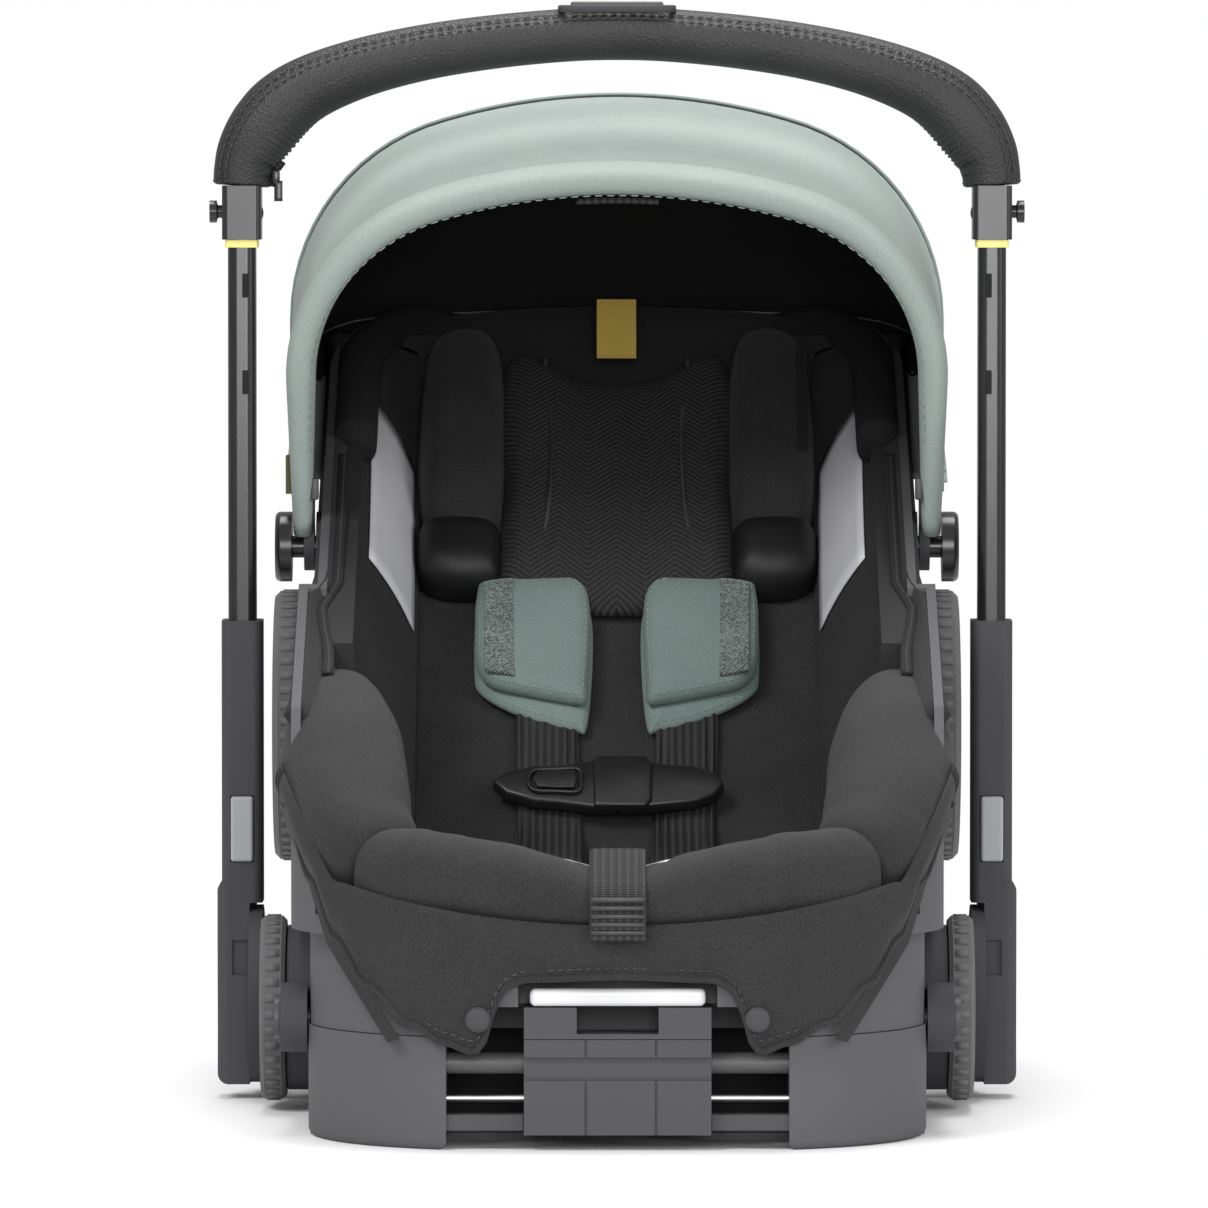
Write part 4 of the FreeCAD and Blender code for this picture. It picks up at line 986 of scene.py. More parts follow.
    def posts(self) -> None:
        """Slots of the tubes and rivets of the collars."""
        for side in SIDES:
            label = side.name.lower()
            x = side.value * (self.post - 0.0015)
            for k, up in enumerate((0.4385, 0.3865)):
                low = (min(x - 0.0017, x + 0.0017), self.back - 0.01235, up - 0.0065)
                slot = box_mesh(f"tube_slot_{label}_{k}", low, (low[0] + 0.0034, self.back - 0.0105, up + 0.0065))
                soften(new_piece(slot.name, slot, "handle_upper", BLACK_CLOTH), 0.0005)
            rivet = bmesh.new()
            bmesh.ops.create_uvsphere(rivet, u_segments=18, v_segments=10, radius=0.0042)
            mesh = bpy.data.meshes.new(f"collar_rivet_{label}")
            rivet.to_mesh(mesh)
            rivet.free()
            mesh.transform(Matrix.Translation((side.value * 0.1925, self.back, 0.4775)) @ Matrix.Scale(0.5, 4, (1, 0, 0)))
            new_piece(mesh.name, mesh, "handle_upper", GLOSS)

    def build(self) -> None:
        """Build the handle's finish."""
        self.sleeve()
        self.zip_end()
        self.bezel()
        self.posts()


# ------------------------------------------------------------------ bolsters and skirt

@dataclass
class Bolsters:
    """Padded roll round the foot end: one across the front and one over each side of the rim."""

    steps: int = 9

    def side_knots(self, side: Side) -> list[tuple[Point, float, float]]:
        """Centre, width and height of the side roll from its corner seam to its upper end."""
        knots = [((0.1190, -0.2620, 0.1440), 0.046, 0.046), ((0.1330, -0.2400, 0.1560), 0.058, 0.056),
                 ((0.1405, -0.2120, 0.1720), 0.066, 0.062), ((0.1430, -0.1830, 0.1890), 0.066, 0.062),
                 ((0.1450, -0.1560, 0.2035), 0.060, 0.056), ((0.1470, -0.1280, 0.2150), 0.048, 0.046),
                 ((0.1490, -0.1040, 0.2230), 0.034, 0.034)]
        return [((side.value * p[0], p[1], p[2]), w, t) for p, w, t in knots]

    def front_knots(self) -> list[tuple[Point, float, float]]:
        """Centre, width and height of the front roll from the left corner to the right one."""
        half = [((-0.1240, -0.2560, 0.1400), 0.044, 0.048), ((-0.1060, -0.2700, 0.1385), 0.048, 0.050),
                ((-0.0780, -0.2775, 0.1360), 0.050, 0.048), ((-0.0440, -0.2805, 0.1315), 0.050, 0.043),
                ((-0.0200, -0.2810, 0.1275), 0.048, 0.036)]
        middle = [((0.0, -0.2810, 0.1262), 0.047, 0.033)]
        return half + middle + [((-p[0], p[1], p[2]), w, t) for p, w, t in reversed(half)]

    def roll(self, name: str, knots: list[tuple[Point, float, float]], pleats: Callable[[float, float], float],
             ends: float) -> bpy.types.Object:
        """Skin a padded roll with pleats, pinched at its two end seams."""
        path = smooth_path([p for p, _, _ in knots], self.steps)
        sizes = smooth_path([(w, t, 0) for _, w, t in knots], self.steps)
        rings = []
        last = len(path) - 1
        for k, point in enumerate(path):
            along = (path[min(k + 1, last)] - path[max(k - 1, 0)]).normalized()
            side = along.cross(Vector((0, 0, 1))).normalized()
            lift = side.cross(along).normalized()
            share = k / last
            near = min(share, 1 - share) / ends
            pinch = 1.0 if near >= 1 else 0.62 + 0.38 * math.sqrt(max(0.0, 1 - (1 - near) ** 2))
            ring = []
            for j in range(48):
                angle = 2 * math.pi * j / 48
                a, b = oval(sizes[k].x, sizes[k].y, 2.35)(share, angle)
                swell = pinch * (1 + pleats(share, angle))
                ring.append(point + side * a * swell + lift * b * swell)
            rings.append(ring)
        piece = new_piece(name, loft(name, rings), "base", CHARCOAL)
        soften(piece, 0.0005, 1)
        return piece

    def build(self) -> None:
        """Build the three rolls and their seams."""
        def front_pleats(share: float, angle: float) -> float:
            """Soft waves across the top of the front roll, deeper beside the middle notch."""
            top = max(0.0, math.sin(angle))
            inner = max(0.0, math.cos(angle))
            wave = 0.018 * math.sin(share * 61 + 1.3) * math.sin(share * 17) * (0.4 + top)
            tuck = -0.055 * top * sum(math.exp(-((share - m) / 0.011) ** 2) for m in (0.09, 0.2, 0.8, 0.91))
            return wave + tuck * (0.35 + inner)

        def side_pleats(share: float, angle: float) -> float:
            """Gathers that fan out from the inner edge of a side roll."""
            top = 0.5 + 0.5 * math.sin(angle)
            fold = sum(math.exp(-((share - m - 0.02 * math.cos(angle)) / 0.016) ** 2) for m in (0.17, 0.33, 0.5, 0.68, 0.84))
            inner = max(0.0, math.cos(angle + 0.5))
            return 0.008 * math.sin(share * 23 + angle) - 0.055 * fold * top * inner

        front = self.roll("front_roll", self.front_knots(), front_pleats, 0.05)
        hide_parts("front_bolster")
        left, right = (self.roll(f"side_roll_{side.name.lower()}", self.side_knots(side), side_pleats, 0.10)
                       for side in SIDES)
        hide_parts("side_bolsters")
        for side in SIDES:
            x = side.value
            path = smooth_path([(0.150 * x, -0.2440, 0.1180), (0.1300 * x, -0.2790, 0.1250), (0.1180 * x, -0.2830, 0.1420),
                                (0.1050 * x, -0.2640, 0.1600)], 8)
            mesh = loft("corner_seam", tube_rings(path, oval(0.0022, 0.0022), Vector((0, 0.2, 1)), 8))
            new_piece(f"corner_seam_{side.name.lower()}", mesh, "base", THREAD)


@dataclass
class Skirt:
    """Cloth that wraps the foot end under the front roll, with a raised hem over the pull bar."""

    count: int = 150
    rows: int = 14
    thick: float = 0.0024

    def hem(self, x: float) -> float:
        """Height of the lower edge at a distance from the middle."""
        knots = ((0.0, 0.0885), (0.048, 0.0870), (0.056, 0.0840), (0.063, 0.0760), (0.067, 0.0560), (0.073, 0.0500),
                 (0.088, 0.0545), (0.108, 0.0640), (0.128, 0.0830), (0.145, 0.1060), (0.158, 0.1340), (0.175, 0.1720))
        away = abs(x)
        for (xa, za), (xb, zb) in zip(knots, knots[1:]):
            if away <= xb:
                share = (away - xa) / (xb - xa)
                share = share * share * (3 - 2 * share)
                return za + (zb - za) * share
        return knots[-1][1]

    def top(self, x: float) -> float:
        """Height of the upper edge, hidden under the rolls."""
        return 0.116 + 0.020 * min(1.0, abs(x) / 0.14) ** 2 + 0.060 * max(0.0, abs(x) - 0.145) / 0.03

    def grid(self, grow: float) -> list[list[Vector]]:
        """Rows of points from the upper edge to the hem."""
        path = PLAN.foot_path(grow + 0.0036, self.count, -0.215)
        result = []
        for r in range(self.rows + 1):
            share = r / self.rows
            row = []
            for p in path:
                top, low = self.top(p.x), self.hem(p.x)
                z = top + (low - top) * share
                out = Vector((p.x, p.y + 0.195, 0)).normalized()
                puff = 0.0042 * math.sin(math.pi * min(1.0, 0.12 + share)) * min(1.0, abs(p.x) / 0.05 + 0.25)
                wave = 0.0011 * math.sin(p.x * 95 + 2.2 * share) * share
                row.append(Vector((p.x, p.y, z)) + out * (puff + wave))
            result.append(row)
        return result

    def build(self) -> None:
        """Build the cloth, its rolled hem, its stitch row and its two snaps."""
        outer, inner = self.grid(0.0), self.grid(-self.thick)
        mesh, cloth = double_sheet("foot_cloth", outer, inner)
        piece = new_piece("foot_cloth", mesh, "base", CHARCOAL)
        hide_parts("foot_skirt")
        edge = [p + Vector((0, 0, 0.0012)) for p in outer[-1]]
        mesh = loft("foot_hem", tube_rings(edge, oval(0.0032, 0.0036), Vector((0, 0, 1)), 10))
        new_piece("foot_hem", mesh, "base", CHARCOAL)
        inside = [row[k] + Vector((0, -0.0003, 0)) for k in range(self.count + 1) for row in (outer[-2],)]
        near = [a.lerp(b, 0.25) for a, b in zip(outer[-1], inside)]
        line = [p + Vector((0, -0.0006, 0.0052)) for p in near if abs(p.x) < 0.1]
        stitches("foot_hem_stitch", line, "base", long=0.003, gap=0.0018, thick=0.0009)
        for side in SIDES:
            snap = bmesh.new()
            bmesh.ops.create_uvsphere(snap, u_segments=24, v_segments=12, radius=0.0066)
            mesh = bpy.data.meshes.new(f"snap_{side.name.lower()}")
            snap.to_mesh(mesh)
            snap.free()
            mesh.transform(Matrix.Translation((side.value * 0.0715, -0.3068, 0.068)) @ Matrix.Scale(0.42, 4, (0, 1, 0)))
            dome = new_piece(mesh.name, mesh, "base", HOUSING)
            if side is Side.LEFT:
                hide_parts("skirt_snaps")


# ------------------------------------------------------------------ seat back

TILT = math.radians(45)
BACK_RIGHT = Vector((1, 0, 0))
BACK_UP = Vector((0, math.cos(TILT), math.sin(TILT)))
BACK_OUT = Vector((0, -math.sin(TILT), math.cos(TILT)))


def on_back(x: float, along: float, off: float = 0.0) -> Vector:
    """Point over the reclined back: across, up the back and out of it."""
    return Vector((x, 0, 0.092)) + BACK_UP * along + BACK_OUT * off


def back_pillow(name: str, outline: Sequence[tuple[float, float]], off: float, thick: float, slot: str,
                finish: Finish, **shape: object) -> bpy.types.Object:
    """Cushion over an outline (across, up) of the reclined back."""
    middle = sum(a[1] for a in outline) / len(outline)
    flat = [(x, u - middle) for x, u in outline]
    mesh = Pillow(name, flat, on_back(0, middle, off), BACK_RIGHT, BACK_UP, thick, **shape).mesh()
    piece = new_piece(name, mesh, "base", finish)
    return piece


@dataclass
class Headrest:
    """Knitted head cushion with a scooped top between two padded wings with smooth patches."""

    base_off: float = 0.0175

    def panel(self) -> None:
        """The knitted middle cushion, hollowed for the head."""
        outline = [(-0.058, 0.214), (0.0, 0.209), (0.058, 0.214), (0.0655, 0.250), (0.063, 0.300), (0.0665, 0.360),
                   (0.060, 0.398), (0.046, 0.396), (0.026, 0.384), (0.0, 0.379), (-0.026, 0.384), (-0.046, 0.396),
                   (-0.060, 0.398), (-0.0665, 0.360), (-0.063, 0.300), (-0.0655, 0.250)]

        def hollow(x: float, _y: float, _share: float) -> float:
            """Shallow trough along the middle."""
            return 0.72 + 0.28 * min(1.0, (x / 0.055) ** 2)

        piece = back_pillow("head_cushion", outline, self.base_off + 0.004, 0.023, "knit_fabric", KNITTED, shape=hollow,
                            power=5.0, rings=18)
        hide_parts("headrest_panel")
        for side in SIDES:
            x = side.value
            curve = smooth_path([on_back(x * 0.040, 0.392, 0.036), on_back(x * 0.036, 0.330, 0.041),
                                 on_back(x * 0.038, 0.270, 0.041), on_back(x * 0.047, 0.222, 0.034)], 12)
            mesh = loft("head_seam", tube_rings(curve, oval(0.0022, 0.0016), BACK_OUT, 8))
            new_piece(f"head_seam_{side.name.lower()}", mesh, "base", THREAD)

    def wings(self) -> None:
        """Two deep padded wings, each with a smooth patch at its lower end."""
        for side in SIDES:
            x, label = side.value, side.name.lower()
            outline = [(0.066, 0.262), (0.085, 0.258), (0.104, 0.266), (0.110, 0.300), (0.109, 0.360), (0.104, 0.404),
                       (0.088, 0.418), (0.070, 0.412), (0.063, 0.380), (0.062, 0.320), (0.063, 0.285)]
            outline = [(x * a, b) for a, b in outline]

            def bulge(px: float, py: float, _share: float) -> float:
                """Thicker along the outer edge, with faint dents."""
                return 0.86 + 0.14 * min(1.0, abs(px) / 0.1) + 0.02 * math.sin(py * 120)

            wing = back_pillow(f"head_wing_{label}", outline, self.base_off + 0.004, 0.034, "seat_fabric", CHARCOAL,
                               shape=bulge, power=3.4)
            if side is Side.LEFT:
                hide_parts("headrest_wings")
            outline = [(x * a, b) for a, b in ((0.066, 0.226), (0.090, 0.222), (0.108, 0.230), (0.111, 0.250),
                                               (0.108, 0.268), (0.088, 0.272), (0.066, 0.268), (0.063, 0.248))]
            back_pillow(f"wing_patch_{label}", outline, self.base_off + 0.003, 0.024, "gloss_black", SATIN_PATCH,
                        power=4.0)
        tag = plate("wing_tag", [(0.100, 0.305), (0.106, 0.305), (0.1065, 0.385), (0.1005, 0.385)],
                    on_back(0, 0, 0.0515), BACK_RIGHT, BACK_UP, 0.0012)
        soften(new_piece("wing_tag", tag, "base", BLACK_CLOTH), 0.0004)

    def crown(self) -> None:
        """Black edge roll behind the headrest, over the shell's head rim."""
        path = [p + Vector((0, 0, -0.004)) for p in PLAN.head_path(-0.016, 60, 0.150)]
        mesh = loft("head_edge", tube_rings(path, oval(0.024, 0.026, 2.4), Vector((0, 0, 1)), 20))
        edge = new_piece("head_edge", mesh, "base", BLACK_CLOTH)
        outline = [(-0.112, 0.385), (0.112, 0.385), (0.116, 0.420), (0.100, 0.448), (0.0, 0.456), (-0.100, 0.448),
                   (-0.116, 0.420)]
        back_pillow("head_cap", outline, 0.004, 0.014, "liner_fabric", LINER, power=6.0)

    def build(self) -> None:
        """Build the headrest."""
        self.panel()
        self.wings()
        self.crown()


@dataclass
class Liners:
    """Padded side linings from the rim down to the back cushion, with their bare labels and zips."""

    steps: int = 44
    across: int = 16

    def point(self, side: Side, along: float, share: float, lift: float = 0.0) -> Vector:
        """Point of a lining: along the seat, and from the rim (0) to the cushion (1)."""
        rim_y = -0.190 + along * 0.490
        wide = min(1.0, max(0.0, (-0.030 - rim_y) / 0.030))
        rim = Vector((0.1545 + 0.0085 * wide, rim_y, PLAN.rim(rim_y) + 0.0005))
        up = -0.100 + along * 0.515
        deep = min(1.0, max(0.0, (up + 0.03) / 0.09))
        deep = deep * deep * (3 - 2 * deep)
        seat = Vector((0.1290, -0.200 + along * 0.9, 0.1105))
        back = on_back(0.1085, max(up, 0.004), 0.0185)
        inner = seat.lerp(back, deep)
        bend = 0.45 + 0.55 * deep
        flat = rim.lerp(inner, share)
        flat.x = rim.x + (inner.x - rim.x) * share ** bend
        normal = Vector((-0.86, -0.30, 0.40)).normalized()
        puff = 0.007 * math.sin(math.pi * share) * (0.35 + 0.65 * math.sin(math.pi * min(1.0, along)))
        tuck = -0.004 * (1 - min(1.0, min(along, 1 - along) / 0.04))
        place = flat + normal * (puff + lift + tuck)
        return Vector((side.value * place.x, place.y, place.z))

    def panel(self, side: Side) -> bpy.types.Object:
        """One lining as a closed padded skin."""
        rings = []
        for k in range(self.steps + 1):
            along = k / self.steps
            front = [self.point(side, along, j / self.across) for j in range(self.across + 1)]
            back = [self.point(side, along, 1 - j / 5, -0.009) for j in range(6)]
            rings.append(front + back)
        name = f"side_lining_{side.name.lower()}"
        piece = new_piece(name, loft(name, rings), "base", LINER)
        return piece

    def label(self, side: Side) -> bpy.types.Object:
        """Bare label laid on a lining."""
        outer, inner = [], []
        for r in range(13):
            row, back = [], []
            for k in range(9):
                share = 0.30 + 0.56 * k / 8
                low = 0.500 + 0.045 * (k / 8)
                high = 0.845 - 0.050 * (k / 8)
                along = low + (high - low) * r / 12
                row.append(self.point(side, along, share, 0.0016))
                back.append(self.point(side, along, share, 0.0009))
            outer.append(row)
            inner.append(back)
        name = f"side_label_{side.name.lower()}"
        mesh, cloth = double_sheet(name, outer, inner)
        piece = new_piece(name, mesh, "base", LABEL)
        return piece

    def build(self) -> None:
        """Build both linings, their labels and the zips under the canopy pivots."""
        for side in SIDES:
            piece = self.panel(side)
            label = self.label(side)
            if side is Side.LEFT:
                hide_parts("side_liners")
                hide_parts("side_labels")
            name = side.name.lower()
            path = [self.point(side, 0.10 + 0.55 * k / 60, 0.045, 0.0022) for k in range(61)]
            mesh = loft("lining_zip", tube_rings(path, oval(0.0062, 0.0026, 3), Vector((0, 0, 1)), 10))
            new_piece(f"lining_zip_{name}", mesh, "base", BLACK_CLOTH)
            stitches(f"lining_teeth_{name}", path, "base", HOUSING, long=0.0014, gap=0.0011, thick=0.0036)


# ------------------------------------------------------------------ harness

@dataclass
class Harness:
    """Two-layer shoulder pads with loop tape, ribbed webbing, chest clip, tongues and buckle flap."""

    off: float = 0.0215

    def pad(self, side: Side) -> None:
        """One folded shoulder pad: a back layer, a front layer and a strip of loop tape."""
        x, label = side.value, side.name.lower()
        rear = [(0.074, 0.150), (0.078, 0.168), (0.077, 0.215), (0.070, 0.224), (0.030, 0.225), (0.017, 0.218),
                (0.013, 0.190), (0.016, 0.128), (0.024, 0.124), (0.052, 0.134)]
        front = [(0.0755, 0.160), (0.0775, 0.178), (0.0770, 0.216), (0.0700, 0.2265), (0.0300, 0.2290),
                 (0.0180, 0.2230), (0.0145, 0.2000), (0.0160, 0.1520), (0.0170, 0.1375), (0.0250, 0.1370),
                 (0.0500, 0.1430), (0.0680, 0.1490)]
        layers = (("rear", rear, self.off, 0.0055), ("front", front, self.off + 0.0075, 0.0090))
        for part, outline, off, thick in layers:
            piece = back_pillow(f"shoulder_pad_{part}_{label}", [(x * a, u) for a, u in outline], off, thick,
                                "sage_fabric", SAGE_PAD, power=7.0, back_share=0.3)
            if side is Side.LEFT and part == "front":
                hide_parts("shoulder_pads")
            middle = Vector((sum(a for a, _ in outline) / len(outline), sum(u for _, u in outline) / len(outline)))
            near = [middle + (Vector(p) - middle) * 0.925 for p in outline]
            loop = smooth_path([on_back(x * p.x, p.y, off + thick * 0.66) for p in near], 8, True)
            stitches(f"pad_stitch_{part}_{label}", loop + loop[:1], "base", SAGE_THREAD, long=0.0030,
                     gap=0.0016, thick=0.0010)
        tape = [(x * a, u) for a, u in ((0.0560, 0.1500), (0.0722, 0.1535), (0.0728, 0.2180), (0.0570, 0.2210))]
        mesh = plate(f"loop_tape_{label}", tape, on_back(0, 0, self.off + 0.0152), BACK_RIGHT, BACK_UP, 0.0022)
        soften(new_piece(mesh.name, mesh, "base", LOOP_TAPE), 0.0008)

    def strap(self, side: Side) -> bpy.types.Object:
        """Ribbed webbing from under the pad, behind the clip, down to the tongue."""
        x = side.value
        path = smooth_path([on_back(x * 0.038, 0.150, self.off + 0.001), on_back(x * 0.038, 0.120, self.off),
                            on_back(x * 0.037, 0.080, self.off - 0.001), on_back(x * 0.036, 0.045, self.off + 0.002),
                            (x * 0.035, -0.060, 0.1260), (x * 0.0345, -0.130, 0.1200), (x * 0.0340, -0.190, 0.1240),
                            (x * 0.0335, -0.224, 0.1325)], 8)

        def section(_share: float, angle: float) -> tuple[float, float]:
            """Flat section with seven ribs."""
            a, b = oval(0.034, 0.0022, 6.0)(0.0, angle)
            return a, b + 0.0005 * math.copysign(1, b) * math.cos(a / 0.034 * 2 * math.pi * 7)

        name = f"harness_web_{side.name.lower()}"
        web = new_piece(name, loft(name, tube_rings(path, section, BACK_OUT, 96)), "base", WEBBING)
        return web

    def clip(self) -> None:
        """Chest clip: two tapered halves, a raised middle band and the button's surround."""
        off = self.off + 0.0025
        outline = [(-0.068, 0.0785), (-0.060, 0.0855), (-0.045, 0.0900), (-0.030, 0.0905), (-0.012, 0.0940),
                   (0.012, 0.0940), (0.030, 0.0905), (0.042, 0.0900), (0.053, 0.0850), (0.0585, 0.0770),
                   (0.053, 0.0690), (0.042, 0.0640), (0.030, 0.0625), (0.012, 0.0600), (-0.012, 0.0600),
                   (-0.030, 0.0630), (-0.045, 0.0645), (-0.060, 0.0700)]
        left = [p for p in outline if p[0] <= 0] + [(0.0, 0.0600), (0.0, 0.0940)]
        left = sorted(left, key=lambda p: math.atan2(p[1] - 0.077, p[0] + 0.03))
        right = [p for p in outline if p[0] > 0] + [(0.0004, 0.0600), (0.0004, 0.0940)]
        right = sorted(right, key=lambda p: math.atan2(p[1] - 0.077, p[0] - 0.03))
        for name, shape, node in (("clip_half_left", left, "chest_clip_left"), ("clip_half_right", right,
                                                                               "chest_clip_right")):
            mesh = plate(name, shape, on_back(0, 0, off), BACK_RIGHT, BACK_UP, 0.0085)
            piece = soften(new_piece(name, mesh, "base", CLIP_PLASTIC), 0.0022)
            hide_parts(node)
        band = [(-0.0125, 0.0590), (0.0160, 0.0590), (0.0190, 0.0640), (0.0190, 0.0900), (0.0160, 0.0950),
                (-0.0125, 0.0950)]
        mesh = plate("clip_band", band, on_back(0, 0, off + 0.004), BACK_RIGHT, BACK_UP, 0.0068)
        soften(new_piece("clip_band", mesh, "base", CLIP_PLASTIC), 0.0018)
        outline = [(-0.0450, 0.0700), (-0.0330, 0.0690), (-0.0210, 0.0690), (-0.0195, 0.0770), (-0.0210, 0.0850),
                   (-0.0330, 0.0850), (-0.0450, 0.0840), (-0.0480, 0.0770)]
        mesh = ring_frame("clip_border", outline, on_back(0, 0, off + 0.0092), BACK_RIGHT, BACK_UP, 0.0022, 0.0044)
        new_piece("clip_border", mesh, "base", CLIP_PLASTIC)
        shape = [(-0.0330 + (a + 0.0330) * 0.84, 0.0770 + (b - 0.0770) * 0.80) for a, b in outline]
        mesh = plate("clip_press", shape, on_back(0, 0, off + 0.0103), BACK_RIGHT, BACK_UP, 0.0018)
        press = soften(new_piece("clip_press", mesh, "chest_clip_button", CLIP_PLASTIC), 0.0006)
        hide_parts("chest_clip_button")

    def buckle(self) -> None:
        """Webbing flap over the buckle, with its sewn ribs, and the bent steel tongues."""
        path = smooth_path([(0, -0.2380, 0.1490), (0, -0.2660, 0.1515), (0, -0.2860, 0.1478), (0, -0.3030, 0.1370),
                            (0, -0.3085, 0.1220), (0, -0.3088, 0.1085)], 8)
        mesh = loft("crotch_flap", tube_rings(path, oval(0.029, 0.0030, 5.0), Vector((0, -0.6, 0.8)), 40))
        flap = new_piece("crotch_flap", mesh, "base", WEBBING)
        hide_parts("crotch_strap")
        for k in range(5):
            z = 0.1115 + 0.0042 * k
            rib = box_mesh(f"flap_rib_{k}", (-0.0140, -0.3112, z), (0.0140, -0.3098, z + 0.0024))
            soften(new_piece(rib.name, rib, "base", CLIP_PLASTIC), 0.0006)
        for side in SIDES:
            x = side.value
            path = smooth_path([(x * 0.016, -0.2300, 0.1400), (x * 0.030, -0.2360, 0.1440), (x * 0.044, -0.2350, 0.1440),
                                (x * 0.0505, -0.2250, 0.1400)], 8)
            name = f"tongue_{side.name.lower()}"
            mesh = loft(name, tube_rings(path, oval(0.0095, 0.0030, 4.0), Vector((0, 0.3, 1)), 20))
            tongue = new_piece(name, mesh, "base", STEEL)
            if side is Side.LEFT:
                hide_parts("buckle_tongues")

    def build(self) -> None:
        """Build the harness."""
        for side in SIDES:
            self.pad(side)
            strap = self.strap(side)
            if side is Side.LEFT:
                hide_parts("shoulder_straps")
        self.clip()
        self.buckle()


# ------------------------------------------------------------------ wheels

@dataclass
class Wheels:
    """Moulded spokes, caps and tread of the four folded wheels."""

    ends: tuple[tuple[str, float, float, float, float, float], ...] = (
        ("rear", 0.1903, 0.225, 0.190, 0.075, 0.019), ("front", 0.1899, -0.050, 0.054, 0.049, 0.0136))
    spokes: int = 6

    def build(self) -> None:
        """Build the details of each wheel on its own body."""
        for end, face, y, z, radius, wide in self.ends:
            for side in SIDES:
                self.details(end, side, face, Vector((0, y, z)), radius, wide)

    def details(self, end: str, side: Side, face: float, hub: Vector, radius: float, wide: float) -> None:
        """Spokes, cap ring and tread bars of one wheel."""
        body = f"{end}_wheel_{side.name.lower()}"
        parts = bmesh.new()
        for k in range(self.spokes):
            turn = Matrix.Rotation(2 * math.pi * k / self.spokes + 0.3, 4, "X")
            reach = radius * 0.60 - radius * 0.20
            rib = Matrix.Diagonal((0.0030, radius * 0.085, reach, 1.0))
            shift = Matrix.Translation((face - 0.0038, 0, radius * 0.20 + reach / 2))
            bmesh.ops.create_cube(parts, size=1.0, matrix=turn @ shift @ rib)
        mesh = bpy.data.meshes.new(f"{body}_spokes")
        self.place(parts, mesh, side, hub)
        soften(new_piece(mesh.name, mesh, body, HOUSING), 0.0009)
        ring = [Vector((face - 0.0030, math.cos(t) * radius * 0.655, math.sin(t) * radius * 0.655))
                for t in (2 * math.pi * k / 72 for k in range(72))]
        rings = tube_rings(ring, oval(0.0026, 0.0026), Vector((1, 0, 0)), 10, True)
        mesh = loft(f"{body}_lip", rings + rings[:1], True, False)
        mesh.transform(Matrix.Translation(hub))
        mesh.transform(Matrix.Scale(float(side.value), 4, (1, 0, 0)))
        new_piece(mesh.name, mesh, body, DARK_PLASTIC)
        tread = bmesh.new()
        count = round(radius * 2 * math.pi / 0.0085)
        for k in range(count):
            turn = Matrix.Rotation(2 * math.pi * k / count, 4, "X")
            bar = Matrix.Diagonal((wide * 0.52, 0.0042, 0.0012, 1.0))
            shift = Matrix.Translation((face - wide / 2, 0, radius + 0.0001))
            bmesh.ops.create_cube(tread, size=1.0, matrix=turn @ shift @ bar)
        mesh = bpy.data.meshes.new(f"{body}_tread")
        self.place(tread, mesh, side, hub)
        new_piece(mesh.name, mesh, body, TYRE)

    def place(self, shape: bmesh.types.BMesh, mesh: bpy.types.Mesh, side: Side, hub: Vector) -> None:
        """Write a shape into a mesh at the hub, mirrored for the left side."""
        bmesh.ops.transform(shape, matrix=Matrix.Translation(hub), verts=shape.verts)
        if side is Side.LEFT:
            bmesh.ops.transform(shape, matrix=Matrix.Scale(-1.0, 4, (1, 0, 0)), verts=shape.verts)
            bmesh.ops.reverse_faces(shape, faces=shape.faces)
        shape.to_mesh(mesh)
        shape.free()


# ------------------------------------------------------------------ stage

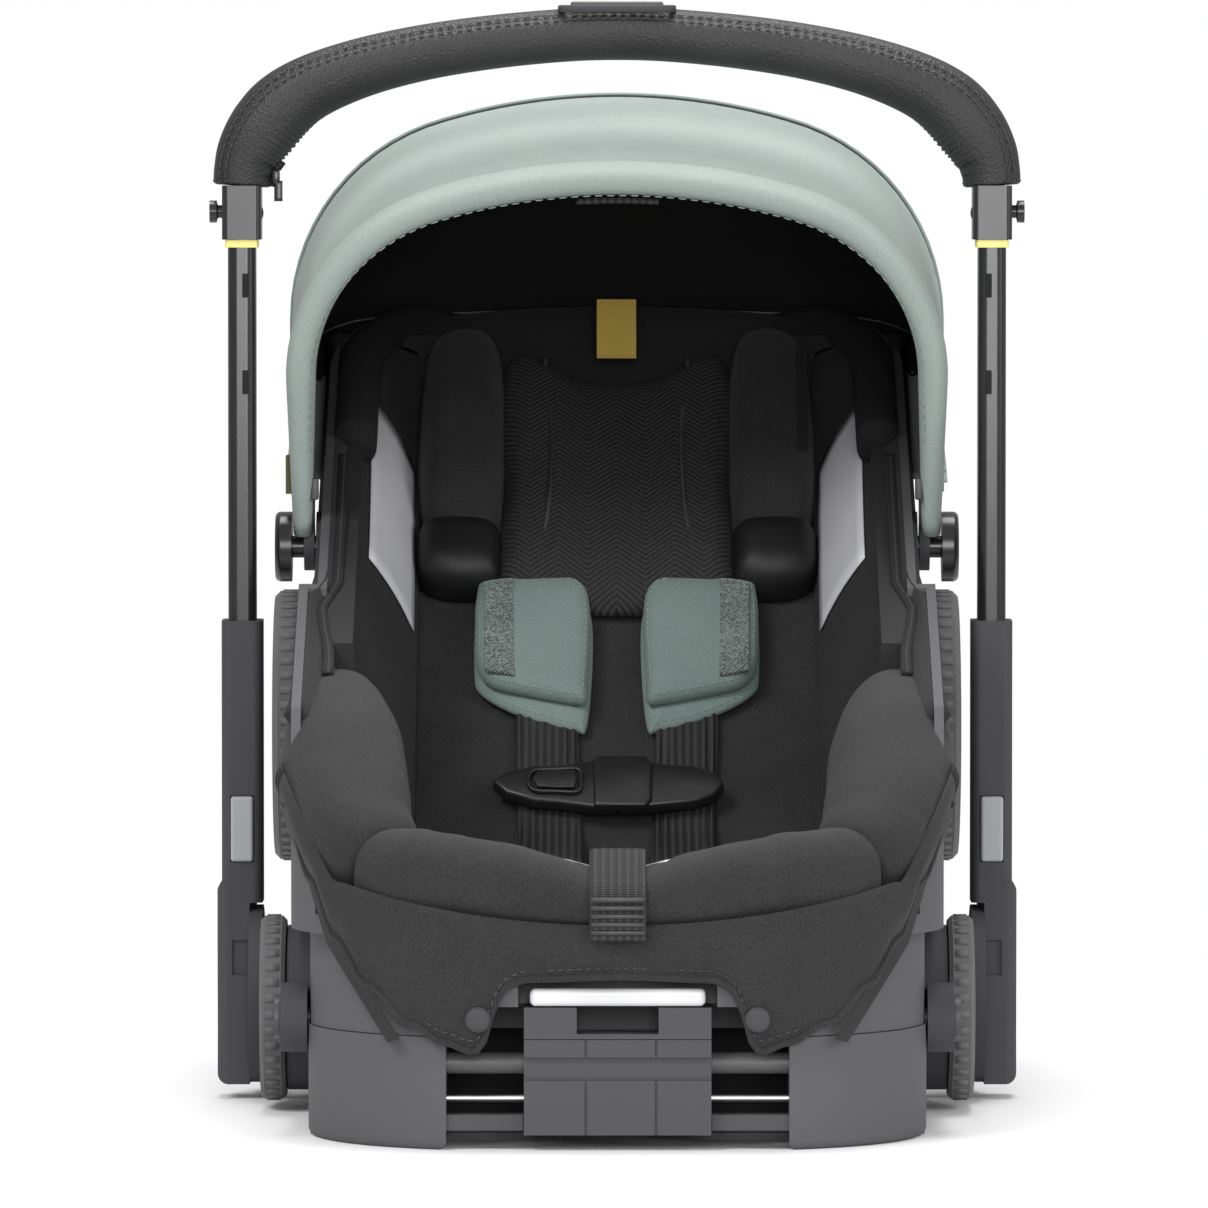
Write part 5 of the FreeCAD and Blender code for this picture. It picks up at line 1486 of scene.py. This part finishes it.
@dataclass
class Stage:
    """Pale floor, white surround, three soft lamps and the camera."""

    distance: float = 6.0
    elevation: float = math.radians(2.5)
    target: Point = (-0.007, 0.02, 0.2665)
    wide: float = 0.652

    def floor(self) -> None:
        """Pale matt floor round the seat, which fades into the white surround."""
        mesh = bpy.data.meshes.new("floor")
        mesh.from_pydata([(-2, -2, 0), (2, -2, 0), (2, 2, 0), (-2, 2, 0)], [], [(0, 1, 2, 3)])
        ground = bpy.data.objects.new("floor", mesh)
        bpy.context.scene.collection.objects.link(ground)
        made = bpy.data.materials.new("floor_paint")
        made.use_nodes = True
        tree = made.node_tree
        wires = Wiring(tree)
        shader = tree.nodes["Principled BSDF"]
        shader.inputs["Base Color"].default_value = (0.95, 0.95, 0.955, 1.0)
        shader.inputs["Roughness"].default_value = 0.9
        x, y, _ = wires.axes()
        across = wires.math("DIVIDE", x, 1.25)
        along = wires.math("DIVIDE", y, 0.95)
        away = wires.math("ADD", wires.math("MULTIPLY", across, across), wires.math("MULTIPLY", along, along))
        fade = wires.node("ShaderNodeMapRange", Value=wires.math("SQRT", away), From_Min=0.35, From_Max=1.0)
        clear = tree.nodes.new("ShaderNodeBsdfTransparent")
        mix = tree.nodes.new("ShaderNodeMixShader")
        tree.links.new(fade.outputs[0], mix.inputs[0])
        tree.links.new(shader.outputs[0], mix.inputs[1])
        tree.links.new(clear.outputs[0], mix.inputs[2])
        tree.links.new(mix.outputs[0], tree.nodes["Material Output"].inputs["Surface"])
        mesh.materials.append(made)

    def surround(self) -> None:
        """White to the eye, softer for the light that falls on the seat."""
        world = bpy.data.worlds.new("studio")
        bpy.context.scene.world = world
        world.use_nodes = True
        tree = world.node_tree
        wires = Wiring(tree)
        paths = tree.nodes.new("ShaderNodeLightPath")
        background = tree.nodes["Background"]
        background.inputs["Color"].default_value = (1.0, 1.0, 1.0, 1.0)
        span = wires.node("ShaderNodeMapRange", Value=paths.outputs["Is Camera Ray"], To_Min=0.5, To_Max=1.0)
        tree.links.new(span.outputs[0], background.inputs["Strength"])

    def lamp(self, name: str, place: Point, size: float, power: float, gleam: float = 1.0) -> None:
        """One soft square lamp that faces the seat; gleam scales its highlights."""
        data = bpy.data.lights.new(name, "AREA")
        data.size = size
        data.energy = power
        data.specular_factor = gleam
        lamp = bpy.data.objects.new(name, data)
        lamp.location = place
        aim = Vector(self.target) - Vector(place)
        lamp.rotation_euler = aim.to_track_quat("-Z", "Y").to_euler()
        bpy.context.scene.collection.objects.link(lamp)

    def camera(self) -> None:
        """Long lens, low, straight at the foot end."""
        data = bpy.data.cameras.new("camera")
        data.sensor_width = 36.0
        data.lens = 36.0 * self.distance / self.wide
        eye = bpy.data.objects.new("camera", data)
        aim = Vector(self.target)
        eye.location = aim + Vector((0, -math.cos(self.elevation), math.sin(self.elevation))) * self.distance
        eye.rotation_euler = (aim - eye.location).to_track_quat("-Z", "Y").to_euler()
        bpy.context.scene.collection.objects.link(eye)
        bpy.context.scene.camera = eye

    def build(self) -> None:
        """Set up the whole stage."""
        self.floor()
        self.surround()
        self.lamp("key", (-1.5, -1.9, 2.3), 1.1, 46.0)
        self.lamp("fill", (2.1, -1.6, 1.1), 1.2, 22.0)
        self.lamp("front", (0.1, -3.2, 0.75), 1.0, 34.0, 0.1)
        self.lamp("top", (0.1, 0.3, 2.4), 1.3, 46.0)
        self.camera()
        bpy.context.scene.view_settings.view_transform = "Standard"


# ------------------------------------------------------------------ all together

def plain_nodes() -> None:
    """Finish every CAD node that keeps its own shape."""
    finishes = {
        "seat_shell": SHELL_PLASTIC, "foam_liner": FOAM, "front_feet": SHELL_PLASTIC, "front_bracket": BRACKET,
        "cross_tube": GREY_PLASTIC, "steel_rod": STEEL, "lower_bars": BRACKET, "bracket_head": BRACKET,
        "pull_bar": PULL_GRIP, "seat_pad": CHARCOAL, "back_pad": CHARCOAL, "headrest_panel": KNITTED,
        "headrest_wings": CHARCOAL, "side_liners": LINER, "side_labels": LABEL, "front_bolster": CHARCOAL,
        "side_bolsters": CHARCOAL, "foot_skirt": CHARCOAL, "rim_trim": GLOSS, "skirt_snaps": GLOSS,
        "shoulder_straps": WEBBING, "shoulder_pads": SAGE_PAD, "buckle_tongues": STEEL, "buckle_body": GLOSS,
        "buckle_button": RED_BUTTON, "crotch_strap": WEBBING, "chest_clip_left": CLIP_PLASTIC,
        "chest_clip_right": CLIP_PLASTIC, "chest_clip_button": CLIP_PLASTIC, "pull_strap": YELLOW_WEB,
        "handle_tubes": TUBE_PAINT, "lock_rings": YELLOW_RING, "upper_collars": GLOSS, "thumb_knobs": GLOSS,
        "handle_grip": LEATHER, "grip_crossbar": TUBE_PAINT, "handle_button": DARK_PLASTIC,
        "leg_housing_left": HOUSING, "leg_housing_right": HOUSING, "leg_release_left": GREY_BUTTON,
        "leg_release_right": GREY_BUTTON, "frame_pins": DARK_PLASTIC,
    }
    for end in ("rear", "front"):
        for side in ("left", "right"):
            finishes[f"{end}_leg_{side}"] = HOUSING
            finishes[f"{end}_wheel_{side}_tyre"] = TYRE
            finishes[f"{end}_wheel_{side}_rim"] = HOUSING
    for node, finish in finishes.items():
        dress(node, finish)


def main() -> None:
    """Build every assembly in order."""
    logging.basicConfig(level=logging.INFO, format="%(message)s")
    plain_nodes()
    for assembly in (Canopy(), Handle(), Bolsters(), Skirt(), Headrest(), Liners(), Harness(), Wheels(), Stage()):
        assembly.build()
        LOG.info("%s done", type(assembly).__name__)


if __name__ == "__main__":
    main()
